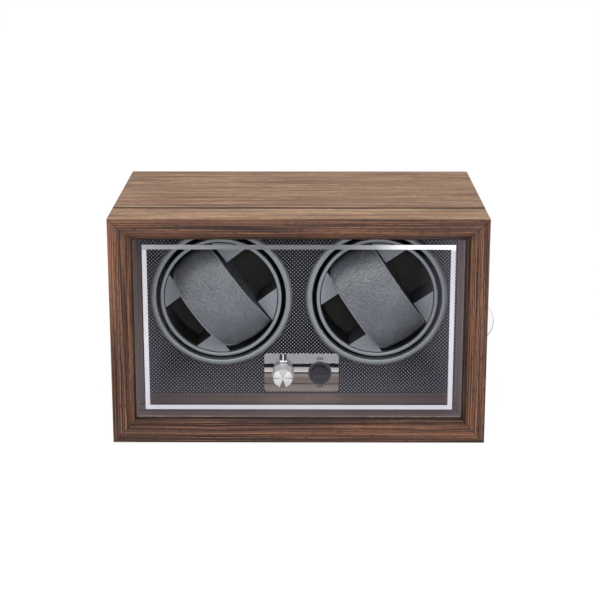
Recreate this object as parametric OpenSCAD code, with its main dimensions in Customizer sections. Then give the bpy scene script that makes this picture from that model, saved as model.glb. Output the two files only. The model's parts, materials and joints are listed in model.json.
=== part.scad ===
// Two-place watch winder box: a mitred wooden case with a deep glazed door, two driven cups that
// turn a watch pillow each, and a control plate with a selector knob and a rocker switch.
// X runs to the right, Y from the door to the back, Z up. The origin is the middle of the underside.

/* [Box] */
// Width of the box
box_w = 300; // [280:1:340]
// Depth of the box, with its door
box_d = 200; // [190:1:240]
// Height of the box, with its base felt
box_h = 186; // [182:1:220]
// Thickness of the wrapped boards
board_t = 18.5; // [17:0.5:20]
// Thickness of the felt under the case
felt_t = 1; // [0.8:0.1:2]
// Margin of the felt inside the case's edges
felt_margin = 3; // [1:0.5:8]

/* [Back] */
// Thickness of the back panel
back_t = 4; // [3:0.5:5]
// Depth that the back panel lies below the back edges
back_recess = 2; // [1.8:0.1:4]
// Width of the rebate that the back panel seats in
back_rebate_w = 8; // [7:0.5:9]
// Clearance round the back panel in its rebate
back_gap = 0.3; // [0.1:0.1:0.6]

/* [Door] */
// Depth of the door
door_d = 41; // [38:0.5:46]
// Gap between the door and the case
seam = 2; // [1.8:0.1:2.6]
// Width of the flat face of the door frame
face_w = 11.5; // [9:0.5:13]
// Depth of the bevel inside the flat face
bevel_d = 9; // [6:0.5:12]
// Thickness of the lip in front of the glass
lip_t = 1; // [0.8:0.1:2]
// Thickness of the glass
glass_t = 3; // [2.5:0.5:4]
// Width of the rebate that holds the glass and its beads
glass_rebate_w = 5; // [4:0.5:6]
// Clearance round the edge of the glass
glass_gap = 0.5; // [0.3:0.1:1]
// Thickness of the silver border on the back of the glass
border_t = 0.3; // [0.2:0.1:0.5]
// Width of the silver border
border_w = 4; // [2:0.5:6]
// Margin between the border and the sides of the opening
border_margin_x = 7; // [4:0.5:12]
// Margin between the border and the top and bottom of the opening
border_margin_z = 5.5; // [4:0.5:12]

/* [Pull tab] */
// Radius of the clear pull tab
tab_r = 18; // [14:0.5:22]
// Thickness of the pull tab
tab_t = 4; // [3:0.5:6]
// How far the pull tab stands out of the door's side
tab_out = 7; // [5:0.5:9]
// How far the pull tab is let into the stile
tab_in = 8; // [5:0.5:10]
// Height of the pull tab's middle over the middle of the door
tab_rise = 4; // [-10:0.5:10]
// Clearance of the pull tab in its slot
tab_gap = 0.1; // [0.05:0.05:0.3]

/* [Hinges] */
// Length of a butt hinge
hinge_len = 40; // [30:5:50]
// Distance from the top or bottom of the case to the nearer hinge end
hinge_inset = 22; // [15:1:35]
// Radius of the hinge knuckles
knuckle_r = 2.2; // [2:0.1:2.6]
// Number of knuckles on one hinge
knuckles = 5; // [3:2:7]
// Gap between neighbouring knuckles
knuckle_gap = 0.3; // [0.2:0.1:0.5]
// Radius of the hinge pin
pin_r = 1; // [0.8:0.1:1.2]
// Radial clearance of the pin in its knuckles
pin_gap = 0.05; // [0.02:0.01:0.09]
// Thickness of a hinge leaf
leaf_t = 0.85; // [0.7:0.05:0.85]
// Width of a hinge leaf over the board
leaf_w = 14; // [12:0.5:16]
// Gap between the knuckles and the side of the box
knuckle_stand = 0.3; // [0.3:0.1:0.8]

/* [Catch] */
// Radius of a door magnet
magnet_r = 4; // [3:0.5:5]
// Thickness of a door magnet
magnet_t = 3; // [2:0.5:4]
// Radius of a steel strike disc
strike_r = 5; // [4:0.5:6]
// Gap left between a magnet and its strike disc
strike_gap = 0.3; // [0.3:0.05:0.6]
// Distance from the top or bottom of the case to a magnet
magnet_inset = 30; // [24:1:45]

/* [Display panel] */
// Distance from the front of the door to the display panel
panel_set = 70; // [68:0.5:72]
// Thickness of the display panel
panel_t = 4; // [3:0.5:5]
// Width and depth of the cleats behind the panels
cleat = 10; // [8:0.5:12]

/* [Bezel rings] */
// Gap between a bezel ring and the side of the display panel
ring_side_gap = 7; // [6:0.5:8]
// Gap between a bezel ring and the top of the display panel
ring_top_gap = 3.5; // [2:0.5:6]
// Gap between a bezel ring and the nearest corner of the control plate
ring_plate_gap = 0.32; // [0.3:0.01:0.6]
// Width of a bezel ring's face
ring_w = 5.5; // [4.5:0.5:6]
// Height of a bezel ring over the panel
ring_h = 4; // [3:0.5:5]
// Wall of the spigot that goes into the panel
spigot_t = 2.2; // [1.5:0.1:2.5]

/* [Cups] */
// Gap between a cup and its bezel ring
drum_gap = 3.5; // [2.5:0.5:4]
// How far a cup's rim stands in front of its bezel ring
drum_proud = 0.5; // [0:0.1:2]
// Width of the rim on the front of a cup
rim_w = 3; // [2.5:0.5:4]
// Depth of that rim
rim_d = 4; // [3:0.5:6]
// Thickness of a cup's floor
cup_floor = 3.5; // [3:0.5:5]
// Step from the rim's outer face to the cup's wall
cup_step = 0.5; // [0.3:0.1:1]
// Radius of the boss on a cup's back
boss_r = 9; // [7:0.5:11]
// Length of that boss
boss_len = 7.5; // [6:0.5:9]
// Width of the finger channel across a cup
channel_w = 42; // [38:1:44]
// Width of the pillow slot across a cup
slot_w = 44.5; // [43.5:0.5:47]
// Gap between the petal blocks and the cup's wall
petal_gap = 0.5; // [0.3:0.1:1]
// How far the petal faces lie below the rim
petal_drop = 0.5; // [0:0.1:2]
// Wall of the hollow petal blocks
petal_wall = 2.5; // [1.5:0.5:3.5]
// Angle of the left cup's finger channel over the horizontal
turn_left = 37; // [0:1:90]
// Angle of the right cup's finger channel over the horizontal
turn_right = 34; // [0:1:90]

/* [Pillows] */
// Clearance between the corners of a pillow and the cup's wall
pillow_end_gap = 2.1; // [1:0.1:4]
// Thickness of a pillow from front to back
pillow_deep = 54; // [48:1:56]
// Clearance between a pillow's end faces and the petal blocks
pillow_slot_gap = 0.75; // [0.5:0.05:3]
// How far the edges of a pillow's end faces draw in
pillow_round = 3; // [1:0.5:5]
// Clearance between a pillow and the cup's floor
pillow_gap = 0.3; // [0.3:0.1:1]

/* [Drive] */
// Radius of a cup's shaft
shaft_r = 4; // [3:0.5:5]
// Radial clearance of a shaft in its bush
bush_gap = 0.04; // [0.02:0.01:0.09]
// Wall of a bush
bush_wall = 3; // [2:0.5:4]
// Width of a bush's flange
bush_flange = 3; // [2:0.5:4]
// Module of the gears
gear_m = 1; // [1:0.05:1.05]
// Teeth on the gear of each cup
gear_teeth = 54; // [50:2:54]
// Teeth on the pinion of each motor
pinion_teeth = 18; // [18:2:20]
// Width of the gear teeth
gear_w = 6; // [4:0.5:7]
// Play between the teeth, measured along the pitch circle
backlash = 0.3; // [0.2:0.05:0.4]
// Gap between a cup's boss and its gear
gear_set = 1; // [0.5:0.1:2]
// Gap between the gear's hub and the bush
end_play = 0.3; // [0.2:0.1:0.5]
// Thickness of the chassis board
chassis_t = 6; // [5:0.5:8]
// Radius of a motor's gearbox
gearbox_r = 12.5; // [11:0.5:14]
// Length of a motor's gearbox
gearbox_len = 18; // [15:1:22]
// Radius of a motor's can
can_r = 11.5; // [10:0.5:12.5]
// Length of a motor's can
can_len = 26; // [22:1:28]
// Gap between a motor and the back panel
motor_gap = 16.5; // [15:0.5:20]
// Radius of a motor's output shaft
output_r = 2; // [1.5:0.5:2.5]

/* [Controls] */
// Width of the control plate
plate_w = 63; // [60:0.5:64]
// Height of the control plate
plate_h = 33.5; // [30:0.5:34]
// Thickness of the control plate
plate_t = 0.8; // [0.6:0.1:1.5]
// Corner radius of the control plate
plate_corner = 3; // [1:0.5:5]
// Middle of the control plate, to the right of the box's middle
plate_x = 2; // [0:0.5:3]
// Gap between the inner floor and the control plate
plate_rise = 2; // [1:0.5:3]
// Distance between the knob and the switch
control_pitch = 31; // [28:0.5:33]
// Radius of the crystal knob
knob_r = 8.4; // [7:0.1:9]
// Length of the crystal knob
knob_len = 15; // [12:0.5:17]
// Gap between the knob and the plate
knob_stand = 1.5; // [1:0.1:3]
// Radius of the selector's shaft
spindle_r = 3; // [2:0.5:3]
// Radius of the switch's chrome rim
switch_r = 9.8; // [9:0.1:10.5]
// Radius of the switch's body
switch_body_r = 8.8; // [8.5:0.1:9]
// Radius of the rocker
rocker_r = 6.9; // [6:0.1:7]
// Angle through which the rocker tips
rocker_tip = 16; // [10:1:16]

/* [Electrics] */
// Width of the circuit board
pcb_w = 56; // [50:1:60]
// Height of the circuit board
pcb_h = 36; // [30:1:38]
// Gap between the inner floor and the circuit board
pcb_rise = 8; // [6:0.5:12]
// Thickness of the circuit board
pcb_t = 1.6; // [1:0.2:2]
// Length of the posts under the circuit board
post_len = 5; // [4:0.5:8]
// Radius of the jack's socket, for a 5.5 mm plug
jack_bore_r = 2.85; // [2.8:0.05:3]
// Radius of the jack's body
jack_r = 5.5; // [5:0.5:6.5]
// Distance of the jack from the box's right side
jack_side = 55; // [45:1:80]
// Height of the jack over the inner floor
jack_rise = 22; // [18:1:40]

/* [Hidden] */
$fn = 64;

// Fits between pieces that are fixed to each other
snug = 0.02;
cut = 1;

// Places from front to back
front_y = -box_d / 2;
door_back_y = front_y + door_d;
case_y = door_back_y + seam;
back_y = box_d / 2;
seam_y = (door_back_y + case_y) / 2;
glass_y = front_y + bevel_d + lip_t;
glass_back_y = glass_y + glass_t;
panel_y = front_y + panel_set;
panel_back_y = panel_y + panel_t;
back_panel_y = back_y - back_recess - back_t;

// Places across and up
half_w = box_w / 2;
base_z = felt_t;
inner_w = box_w - 2 * board_t;
floor_z = base_z + board_t;
ceiling_z = box_h - board_t;
inner_h = ceiling_z - floor_z;
middle_z = (base_z + box_h) / 2;

// Controls
control_z = floor_z + plate_rise + plate_h / 2;
knob_x = plate_x - control_pitch / 2;
switch_x = plate_x + control_pitch / 2;
plate_y = panel_y - plate_t;
knob_back_y = plate_y - knob_stand;
knob_front_y = knob_back_y - knob_len;
spindle_gap = 0.04;
selector_bush_r = spindle_r + 1.5;
selector_body_r = 9;
selector_body_len = 12;
selector_pin_len = 4;
rim_h = 1.8;
switch_flange_r = switch_r - 0.8;
switch_cavity_r = switch_body_r - 1;
switch_len = 16;
switch_pin_len = 7;
rocker_half = 4;
rocker_y = panel_y;
switch_back_y = panel_back_y + switch_len;
pivot_r = 1.2;
pivot_gap = 0.05;
pivot_len = switch_cavity_r - rocker_r + 0.7;

// The largest ring that keeps its gaps to the panel's side and top and to the plate's corner,
// and that leaves at least the side gap between the two rings
plate_corner_reach = plate_corner + ring_plate_gap;
ring_reach_x = inner_w / 2 - ring_side_gap - plate_x - plate_w / 2 + plate_corner;
ring_reach_z = ceiling_z - ring_top_gap - control_z - plate_h / 2 + plate_corner;
ring_r = min((inner_w - 3 * ring_side_gap) / 4, ring_reach_x + ring_reach_z + plate_corner_reach
    - sqrt(2 * (ring_reach_x + plate_corner_reach) * (ring_reach_z + plate_corner_reach)));
ring_inner_r = ring_r - ring_w;
drum_pitch = inner_w - 2 * (ring_side_gap + ring_r);
drum_z = ceiling_z - ring_top_gap - ring_r;

// The cups, measured from the front of their rims; the drive behind them sets how deep they are
spigot_r = ring_inner_r + spigot_t;
drum_r = ring_inner_r - drum_gap;
drum_y = panel_y - ring_h - drum_proud;
cup_inner_r = drum_r - rim_w;
cup_outer_r = drum_r - cup_step;
hub_rise = 2.7;
flange_t = 1.5;
drive_len = boss_len + gear_set + gear_w + hub_rise + end_play + flange_t + chassis_t
    + gearbox_len + can_len;
cup_depth = back_panel_y - motor_gap - drive_len - cup_floor - drum_y;
cup_back = cup_depth + cup_floor;
boss_back = cup_back + boss_len;
shaft_start = cup_depth + cup_floor / 2;
gear_front = boss_back + gear_set;
gear_back = gear_front + gear_w;
hub_r = boss_r - 1;
hub_back = gear_back + hub_rise;
bush_front = hub_back + end_play;
chassis_front = bush_front + flange_t;
chassis_back = chassis_front + chassis_t;
bush_tail = 2;
bush_back = chassis_back + bush_tail;
bush_r = shaft_r + bush_gap + bush_wall;
clip_t = 0.8;
clip_w = 2;
clip_front = bush_back + end_play;
clip_groove_r = shaft_r - 0.6;
clip_r = shaft_r + clip_w;
shaft_tail = 1.4;
shaft_back = clip_front + clip_t + shaft_tail;

// Pillows
pillow_w = slot_w - 2 * pillow_slot_gap;
pillow_len = 2 * sqrt(pow(cup_inner_r - pillow_end_gap, 2) - pow(pillow_w / 2, 2));

// Gears
gear_pitch_r = gear_m * gear_teeth / 2;
pinion_pitch_r = gear_m * pinion_teeth / 2;
motor_drop = gear_pitch_r + pinion_pitch_r;
pressure_angle = 20;
dedendum = 1.25;
flank_steps = 3;
motor_z = drum_z - motor_drop;
gearbox_boss_r = 5.5;
output_gap = 0.05;
output_reach = 7;
motor_screw_spread = 9;
pinion_hub_r = 5;

// Hinges and catch
hinge_x = -half_w - knuckle_stand - knuckle_r;
hinge_zs = [base_z + hinge_inset, box_h - hinge_inset - hinge_len];
knuckle_len = hinge_len / knuckles;
leaf_gap = seam / 2 - leaf_t;
leaf_screw_x = -half_w + leaf_w * 0.6;
leaf_screw_rise = hinge_len / 4;
screw_r = 1;
screw_len = 9;
board_screw_r = screw_r * 1.4;
pan_r = 2.6;
pan_h = 1.6;
pan_slot = 0.65;
magnet_x = half_w - (board_t - glass_rebate_w) / 2;
magnet_zs = [base_z + magnet_inset, box_h - magnet_inset];
strike_t = seam - strike_gap;
strike_seat = 1.5;

// Electrics
pcb_y = drum_y + chassis_back + post_len;
pcb_x = plate_x;
pcb_z = floor_z + pcb_rise + pcb_h / 2;
post_r = 2.5;
post_inset = 4;
wire_r = 1.2;
wire_sides = 8;
wire_bend = 3;
wire_lead = 14;
short_lead = 6;
wire_tail = 9;
wire_side = 16;
chip = [16, 2.5, 8];
capacitor_r = 3;
capacitor_h = 9;
capacitor_xs = [-20, -13];
coil = [6, 4, 8];
coil_x = 14;
coil_drop = 11;
plug = [8, 6, 5];
plug_xs = [-22, -11, 0, 11, 22];
plug_drop = 9.5;
plug_z = pcb_z + pcb_h / 2 - plug_drop;
terminal_len = 4;
terminal_x = 6;
jack_x = half_w - jack_side;
jack_z = floor_z + jack_rise;
jack_body_in = 8;
jack_depth = 9;
jack_collar = 1.2;
jack_nut = 2.2;

// ---------- helpers ----------

// Draws an outline given in X and Z between two places along Y
module slab_y(y0, y1) translate([0, y1, 0]) rotate([90, 0, 0]) linear_extrude(y1 - y0) children();

// A round bar along Y
module bar_y(x, z, r, y0, y1) translate([x, y0, z]) rotate([-90, 0, 0]) cylinder(r = r, h = y1 - y0);

// A turned piece about the Y axis; the profile is radius against depth
module turned(x, y, z, profile)
    translate([x, y, z]) rotate([-90, 0, 0]) rotate_extrude() polygon(profile);

// Places children at a cup: X along its finger channel, Y into the cup, Z along its pillow slot
module at_cup(side) translate([side * drum_pitch / 2, drum_y, drum_z])
    rotate([0, side < 0 ? -turn_left : -turn_right, 0]) children();

// Mitred outlines of the four sides of a frame, from the outside in
function mitre(x, z0, z1, w, side) =
    side == "top" ? [[-x, z1], [x, z1], [x - w, z1 - w], [-x + w, z1 - w]] :
    side == "bottom" ? [[-x, z0], [-x + w, z0 + w], [x - w, z0 + w], [x, z0]] :
    side == "left" ? [[-x, z0], [-x, z1], [-x + w, z1 - w], [-x + w, z0 + w]] :
    [[x, z0], [x - w, z0 + w], [x - w, z1 - w], [x, z1]];

// Countersunk screw along Y, its head flat at y and its point towards the side dir
module flat_screw(x, y, z, dir, head_t, clear = 0) {
    translate([x, y, z]) rotate([-90 * dir, 0, 0]) {
        cylinder(r1 = 2 * screw_r + clear, r2 = screw_r + clear, h = head_t);
        cylinder(r = screw_r + clear, h = screw_len + clear);
    }
}

// Pan-head screw along Y, its head standing out on the side against dir
module pan_screw(x, y, z, dir, len) {
    translate([x, y, z]) rotate([-90 * dir, 0, 0]) {
        cylinder(r = board_screw_r, h = len);
        difference() {
            translate([0, 0, -pan_h]) cylinder(r = pan_r, h = pan_h);
            for (turn = [0, 90]) rotate([0, 0, turn])
                translate([-pan_r * 0.6, -pan_slot / 2, -pan_h - cut])
                    cube([pan_r * 1.2, pan_slot, cut + pan_slot]);
        }
    }
}

// ---------- case ----------

module back_rebate() {
    x = inner_w / 2 + back_rebate_w;
    translate([-x, back_panel_y, floor_z - back_rebate_w])
        cube([2 * x, back_recess + back_t + cut, inner_h + 2 * back_rebate_w]);
}

back_screw_x = inner_w / 2 + back_rebate_w / 2;
back_screw_z = [floor_z - back_rebate_w / 2, middle_z, ceiling_z + back_rebate_w / 2];
back_screw_len = back_t + 10;

module back_screw_places()
    for (x = [-back_screw_x, 0, back_screw_x], z = back_screw_z)
        if (x != 0 || z != middle_z) translate([x, 0, z]) children();

module back_screw_holes(clear) back_screw_places()
    bar_y(0, 0, board_screw_r + clear, back_y - back_recess - back_screw_len - cut, back_y);

module case_board(side) difference() {
    slab_y(case_y, back_y) polygon(mitre(half_w, base_z, box_h, board_t, side));
    back_rebate();
    back_screw_holes(snug);
    if (side == "left") hinge_screws_at(1, snug);
    if (side == "right") strike_pockets();
}

module top_board() color([0.58, 0.47, 0.39]) case_board("top");
module bottom_board() color([0.42, 0.33, 0.28]) case_board("bottom");
module left_board() color([0.46, 0.36, 0.30]) case_board("left");
module right_board() color([0.46, 0.36, 0.30]) case_board("right");

module back_panel() color([0.16, 0.15, 0.15]) difference() {
    w = inner_w + 2 * (back_rebate_w - back_gap);
    h = inner_h + 2 * (back_rebate_w - back_gap);
    translate([-w / 2, back_panel_y, floor_z - back_rebate_w + back_gap]) cube([w, back_t, h]);
    back_screw_holes(0.2);
    bar_y(jack_x, jack_z, jack_r + snug, back_panel_y - cut, back_y);
}

module back_screws() color([0.2, 0.2, 0.2]) back_screw_places()
    pan_screw(0, back_y - back_recess, 0, -1, back_screw_len);

module base_felt() color([0.1, 0.1, 0.1])
    translate([-half_w + felt_margin, case_y + felt_margin, 0])
        cube([box_w - 2 * felt_margin, back_y - case_y - 2 * felt_margin, felt_t]);

// ---------- display panel ----------

module display_panel() color([0.2, 0.2, 0.22]) difference() {
    translate([-inner_w / 2, panel_y, floor_z]) cube([inner_w, panel_t, inner_h]);
    for (side = [-1, 1])
        bar_y(side * drum_pitch / 2, drum_z, spigot_r + snug, panel_y - cut, panel_back_y + cut);
    bar_y(knob_x, control_z, selector_bush_r + snug, panel_y - cut, panel_back_y + cut);
    bar_y(switch_x, control_z, switch_body_r + snug, panel_y - cut, panel_back_y + cut);
}

module cleat_pair(y) for (side = [-1, 1])
    translate([side * (inner_w - cleat) / 2 - cleat / 2, y, floor_z]) cube([cleat, cleat, inner_h]);

module panel_cleats() color([0.75, 0.62, 0.45]) cleat_pair(panel_back_y);

ring_steps = 6;

module bezel_ring(side) color([0.49, 0.51, 0.54]) {
    land_r = ring_inner_r + ring_w * 0.45;
    flank = [for (i = [0 : ring_steps]) let (a = 90 * i / ring_steps)
        [land_r + (ring_r - land_r) * sin(a), ring_h * (1 - cos(a))]];
    turned(side * drum_pitch / 2, panel_y - ring_h, drum_z, concat(
        [[ring_inner_r, 0.8], [ring_inner_r + 0.8, 0]], flank,
        [[spigot_r, ring_h], [spigot_r, ring_h + panel_t], [ring_inner_r, ring_h + panel_t]]));
}

module bezel_ring_left() bezel_ring(-1);
module bezel_ring_right() bezel_ring(1);

// ---------- chassis ----------

chassis_y = drum_y + chassis_front;
chassis_back_y = drum_y + chassis_back;
chassis_gap = 0.5;
wire_hole_r = 7;
wire_hole_rise = 12;
wire_hole_z = pcb_z + pcb_h / 2 + wire_hole_rise;
chassis_screw_inset = 15;
chassis_screw_x = (inner_w - cleat) / 2;
chassis_screw_zs = [floor_z + chassis_screw_inset, ceiling_z - chassis_screw_inset];
chassis_screw_len = chassis_t + 5;

module chassis_board() color([0.70, 0.58, 0.42]) difference() {
    translate([-inner_w / 2 + chassis_gap, chassis_y, floor_z])
        cube([inner_w - 2 * chassis_gap, chassis_t, inner_h]);
    for (side = [-1, 1]) {
        x = side * drum_pitch / 2;
        bar_y(x, drum_z, bush_r + snug, chassis_y - cut, chassis_back_y + cut);
        bar_y(x, motor_z, gearbox_boss_r + snug, chassis_y - cut, chassis_back_y + cut);
        for (dx = [-motor_screw_spread, motor_screw_spread])
            bar_y(x + dx, motor_z, board_screw_r + 0.1, chassis_y - cut, chassis_back_y + cut);
        for (z = chassis_screw_zs)
            bar_y(side * chassis_screw_x, z, board_screw_r + 0.1, chassis_y - cut, chassis_back_y + cut);
    }
    bar_y(pcb_x, wire_hole_z, wire_hole_r, chassis_y - cut, chassis_back_y + cut);
}

module chassis_cleats() color([0.75, 0.62, 0.45]) difference() {
    cleat_pair(chassis_back_y);
    for (side = [-1, 1], z = chassis_screw_zs)
        bar_y(side * chassis_screw_x, z, board_screw_r + snug,
            chassis_back_y - cut, chassis_y + chassis_screw_len + 0.5);
}

// Eight equal screws: four hold the chassis board on its cleats and two hold each motor
module chassis_screws() color([0.7, 0.7, 0.72]) for (side = [-1, 1]) {
    for (z = chassis_screw_zs) pan_screw(side * chassis_screw_x, chassis_y, z, 1, chassis_screw_len);
    for (dx = [-motor_screw_spread, motor_screw_spread])
        pan_screw(side * drum_pitch / 2 + dx, chassis_y, motor_z, 1, chassis_screw_len);
}

module shaft_bush(side) color([0.72, 0.55, 0.28])
    turned(side * drum_pitch / 2, drum_y, drum_z, [
        [shaft_r + bush_gap, bush_front], [bush_r + bush_flange, bush_front],
        [bush_r + bush_flange, chassis_front], [bush_r, chassis_front], [bush_r, bush_back],
        [shaft_r + bush_gap, bush_back]]);

module shaft_bush_left() shaft_bush(-1);
module shaft_bush_right() shaft_bush(1);

module gearmotor(side) color([0.66, 0.67, 0.69]) difference() {
    x = side * drum_pitch / 2;
    back = chassis_back_y + gearbox_len + can_len;
    union() {
        turned(x, chassis_back_y, motor_z, [
            [0, -chassis_t], [gearbox_boss_r, -chassis_t], [gearbox_boss_r, 0], [gearbox_r, 0],
            [gearbox_r, gearbox_len], [can_r, gearbox_len + 1],
            [can_r, gearbox_len + can_len - 1], [can_r - 1, gearbox_len + can_len],
            [0, gearbox_len + can_len]]);
        bar_y(x, motor_z, 3, back - cut, back + 2);
        for (dx = [-terminal_x, terminal_x])
            translate([x + dx - 1.2, back - cut, motor_z - 0.4]) cube([2.4, cut + terminal_len, 0.8]);
    }
    bar_y(x, motor_z, output_r + output_gap, chassis_y - cut, chassis_back_y + output_reach + 1);
    for (dx = [-motor_screw_spread, motor_screw_spread])
        bar_y(x + dx, motor_z, board_screw_r + snug, chassis_back_y - cut, chassis_y + chassis_screw_len + 1);
}

module gearmotor_left() gearmotor(-1);
module gearmotor_right() gearmotor(1);

// ---------- gears ----------

// Angle round the gear from where an involute starts to where it passes radius r
function involute(base_r, r) = r <= base_r ? 0 :
    let (a = acos(base_r / r)) tan(a) * 180 / PI - a;

function gear_outline(teeth) =
    let (pitch_r = gear_m * teeth / 2, base_r = pitch_r * cos(pressure_angle),
        root_r = pitch_r - dedendum * gear_m, tip_r = pitch_r + gear_m,
        start_r = max(root_r, base_r),
        radii = concat([root_r], [for (i = [0 : flank_steps])
            start_r + (tip_r - start_r) * i / flank_steps + 0.001]),
        last = len(radii) - 1,
        half_pitch = 90 / teeth - backlash / 4 / pitch_r * 180 / PI)
    [for (tooth = [0 : teeth - 1], i = [0 : 2 * last + 1])
        let (rising = i <= last, r = radii[rising ? i : 2 * last + 1 - i],
            half = half_pitch + involute(base_r, pitch_r) - involute(base_r, r),
            a = tooth * 360 / teeth + (rising ? -half : half))
        [r * cos(a), r * sin(a)]];

gear_hole_r = 5.5;
gear_hole_at = (hub_r + gear_pitch_r) / 2;
gear_holes = 6;

module drive_gear(side) color([0.88, 0.86, 0.80])
    translate([side * drum_pitch / 2, 0, drum_z]) difference() {
        union() {
            slab_y(drum_y + gear_front, drum_y + gear_back) polygon(gear_outline(gear_teeth));
            bar_y(0, 0, hub_r, drum_y + boss_back, drum_y + hub_back);
        }
        bar_y(0, 0, shaft_r + snug, drum_y + boss_back - cut, drum_y + hub_back + cut);
        for (i = [1 : gear_holes]) rotate([0, 360 * i / gear_holes, 0])
            bar_y(gear_hole_at, 0, gear_hole_r, drum_y + gear_front - cut, drum_y + gear_back + cut);
    }

module drive_gear_left() drive_gear(-1);
module drive_gear_right() drive_gear(1);

// The pinion has a tooth at its top, where the gear has a gap
module motor_pinion(side) color([0.80, 0.72, 0.42])
    translate([side * drum_pitch / 2, 0, motor_z]) {
        slab_y(drum_y + gear_front, drum_y + gear_back)
            rotate([0, 0, 180 / pinion_teeth]) polygon(gear_outline(pinion_teeth));
        bar_y(0, 0, pinion_hub_r, drum_y + gear_back, drum_y + hub_back);
        bar_y(0, 0, output_r, drum_y + gear_front - 1, chassis_back_y + output_reach);
    }

module motor_pinion_left() motor_pinion(-1);
module motor_pinion_right() motor_pinion(1);

// ---------- cups ----------

module cup(side) color([0.13, 0.13, 0.12]) turned(side * drum_pitch / 2, drum_y, drum_z, [
    [0, cup_depth], [cup_inner_r, cup_depth], [cup_inner_r, rim_d], [cup_outer_r, rim_d],
    [cup_outer_r, cup_back - 2], [cup_outer_r - 2, cup_back], [boss_r, cup_back],
    [boss_r, boss_back], [shaft_r + snug, boss_back], [shaft_r + snug, shaft_start], [0, shaft_start]]);

module cup_left() cup(-1);
module cup_right() cup(1);

module cup_rim(side) color([0.47, 0.50, 0.53]) turned(side * drum_pitch / 2, drum_y, drum_z, [
    [cup_inner_r, 0.6], [cup_inner_r + 0.6, 0], [drum_r - 1, 0], [drum_r - 0.3, 0.3], [drum_r, 1],
    [drum_r, rim_d], [cup_inner_r, rim_d]]);

module cup_rim_left() cup_rim(-1);
module cup_rim_right() cup_rim(1);

// One quarter of the round face outside the channel and the slot
module petal(r, inset) intersection() {
    circle(r = r);
    translate([slot_w / 2 + inset, channel_w / 2 + inset]) square(r);
}

module petal_blocks(side) color([0.44, 0.47, 0.49]) at_cup(side) for (mx = [0, 1], mz = [0, 1])
    mirror([mx, 0, 0]) mirror([0, 0, mz]) {
        r = cup_inner_r - petal_gap;
        difference() {
            slab_y(petal_drop, cup_depth) petal(r, 0);
            slab_y(petal_drop + petal_wall, cup_depth + cut) petal(r - petal_wall, petal_wall);
        }
    }

module petal_blocks_left() petal_blocks(-1);
module petal_blocks_right() petal_blocks(1);

module cup_shaft(side) color([0.75, 0.76, 0.78]) turned(side * drum_pitch / 2, drum_y, drum_z, [
    [0, shaft_start], [shaft_r, shaft_start], [shaft_r, clip_front], [clip_groove_r, clip_front],
    [clip_groove_r, clip_front + clip_t], [shaft_r, clip_front + clip_t],
    [shaft_r, shaft_back - 0.5], [shaft_r - 0.5, shaft_back], [0, shaft_back]]);

module cup_shaft_left() cup_shaft(-1);
module cup_shaft_right() cup_shaft(1);

// The clip is open on one side, so that it snaps into the shaft's groove
module shaft_clip(side) color([0.25, 0.26, 0.28]) difference() {
    y0 = drum_y + clip_front + snug;
    y1 = drum_y + clip_front + clip_t - snug;
    x = side * drum_pitch / 2;
    bar_y(x, drum_z, clip_r, y0, y1);
    bar_y(x, drum_z, clip_groove_r + snug, y0 - cut, y1 + cut);
    translate([x - clip_groove_r * 0.8, y0 - cut, drum_z - clip_r - cut])
        cube([clip_groove_r * 1.6, clip_t + 2 * cut, clip_r + cut]);
}

module shaft_clip_left() shaft_clip(-1);
module shaft_clip_right() shaft_clip(1);

pillow_fn = 32;

module pillow(side) color([0.38, 0.40, 0.42]) at_cup(side) {
    r = pillow_deep / 2;
    centre_y = cup_depth - pillow_gap - r;
    reach = pillow_len / 2 - r;
    slice = 0.02;
    hull() for (end = [-1, 1], z = [-reach, reach]) {
        translate([end * (pillow_w / 2 - slice), centre_y, z]) rotate([0, 90, 0])
            cylinder(r = r - pillow_round, h = slice, $fn = pillow_fn);
        translate([end * (pillow_w / 2 - 1.5 * pillow_round), centre_y, z]) rotate([0, 90, 0])
            cylinder(r = r, h = slice, $fn = pillow_fn);
    }
}

module pillow_left() pillow(-1);
module pillow_right() pillow(1);

// ---------- controls ----------

module plate_outline() {
    w = plate_w / 2 - plate_corner;
    h = plate_h / 2 - plate_corner;
    translate([plate_x, control_z]) {
        square([2 * w, plate_h], center = true);
        square([plate_w, 2 * h], center = true);
        for (x = [-w, w], z = [-h, h]) translate([x, z]) circle(r = plate_corner);
    }
}

module control_plate() color([0.80, 0.80, 0.82]) difference() {
    slab_y(plate_y, panel_y) plate_outline();
    bar_y(knob_x, control_z, selector_bush_r + snug, plate_y - cut, panel_y + cut);
    bar_y(switch_x, control_z, switch_body_r + snug, plate_y - cut, panel_y + cut);
}

spindle_end_y = panel_back_y + selector_body_len - 3;

module selector_switch() color([0.30, 0.32, 0.34]) difference() {
    union() {
        bar_y(knob_x, control_z, selector_bush_r, plate_y - 0.6, panel_back_y);
        bar_y(knob_x, control_z, selector_body_r, panel_back_y, panel_back_y + selector_body_len);
        for (i = [1 : 6]) rotate_about_selector(60 * i)
            bar_y(knob_x + selector_body_r * 2 / 3, control_z, 0.6, panel_back_y + selector_body_len - cut,
                panel_back_y + selector_body_len + selector_pin_len);
    }
    bar_y(knob_x, control_z, spindle_r + spindle_gap, plate_y - cut, spindle_end_y + 0.5);
}

module rotate_about_selector(a) translate([knob_x, 0, control_z]) rotate([0, a, 0])
    translate([-knob_x, 0, -control_z]) children();

knob_facets = 10;
knob_bore_len = 8;
crown_h = 3.2;
crown_r = knob_r * 0.62;

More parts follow.
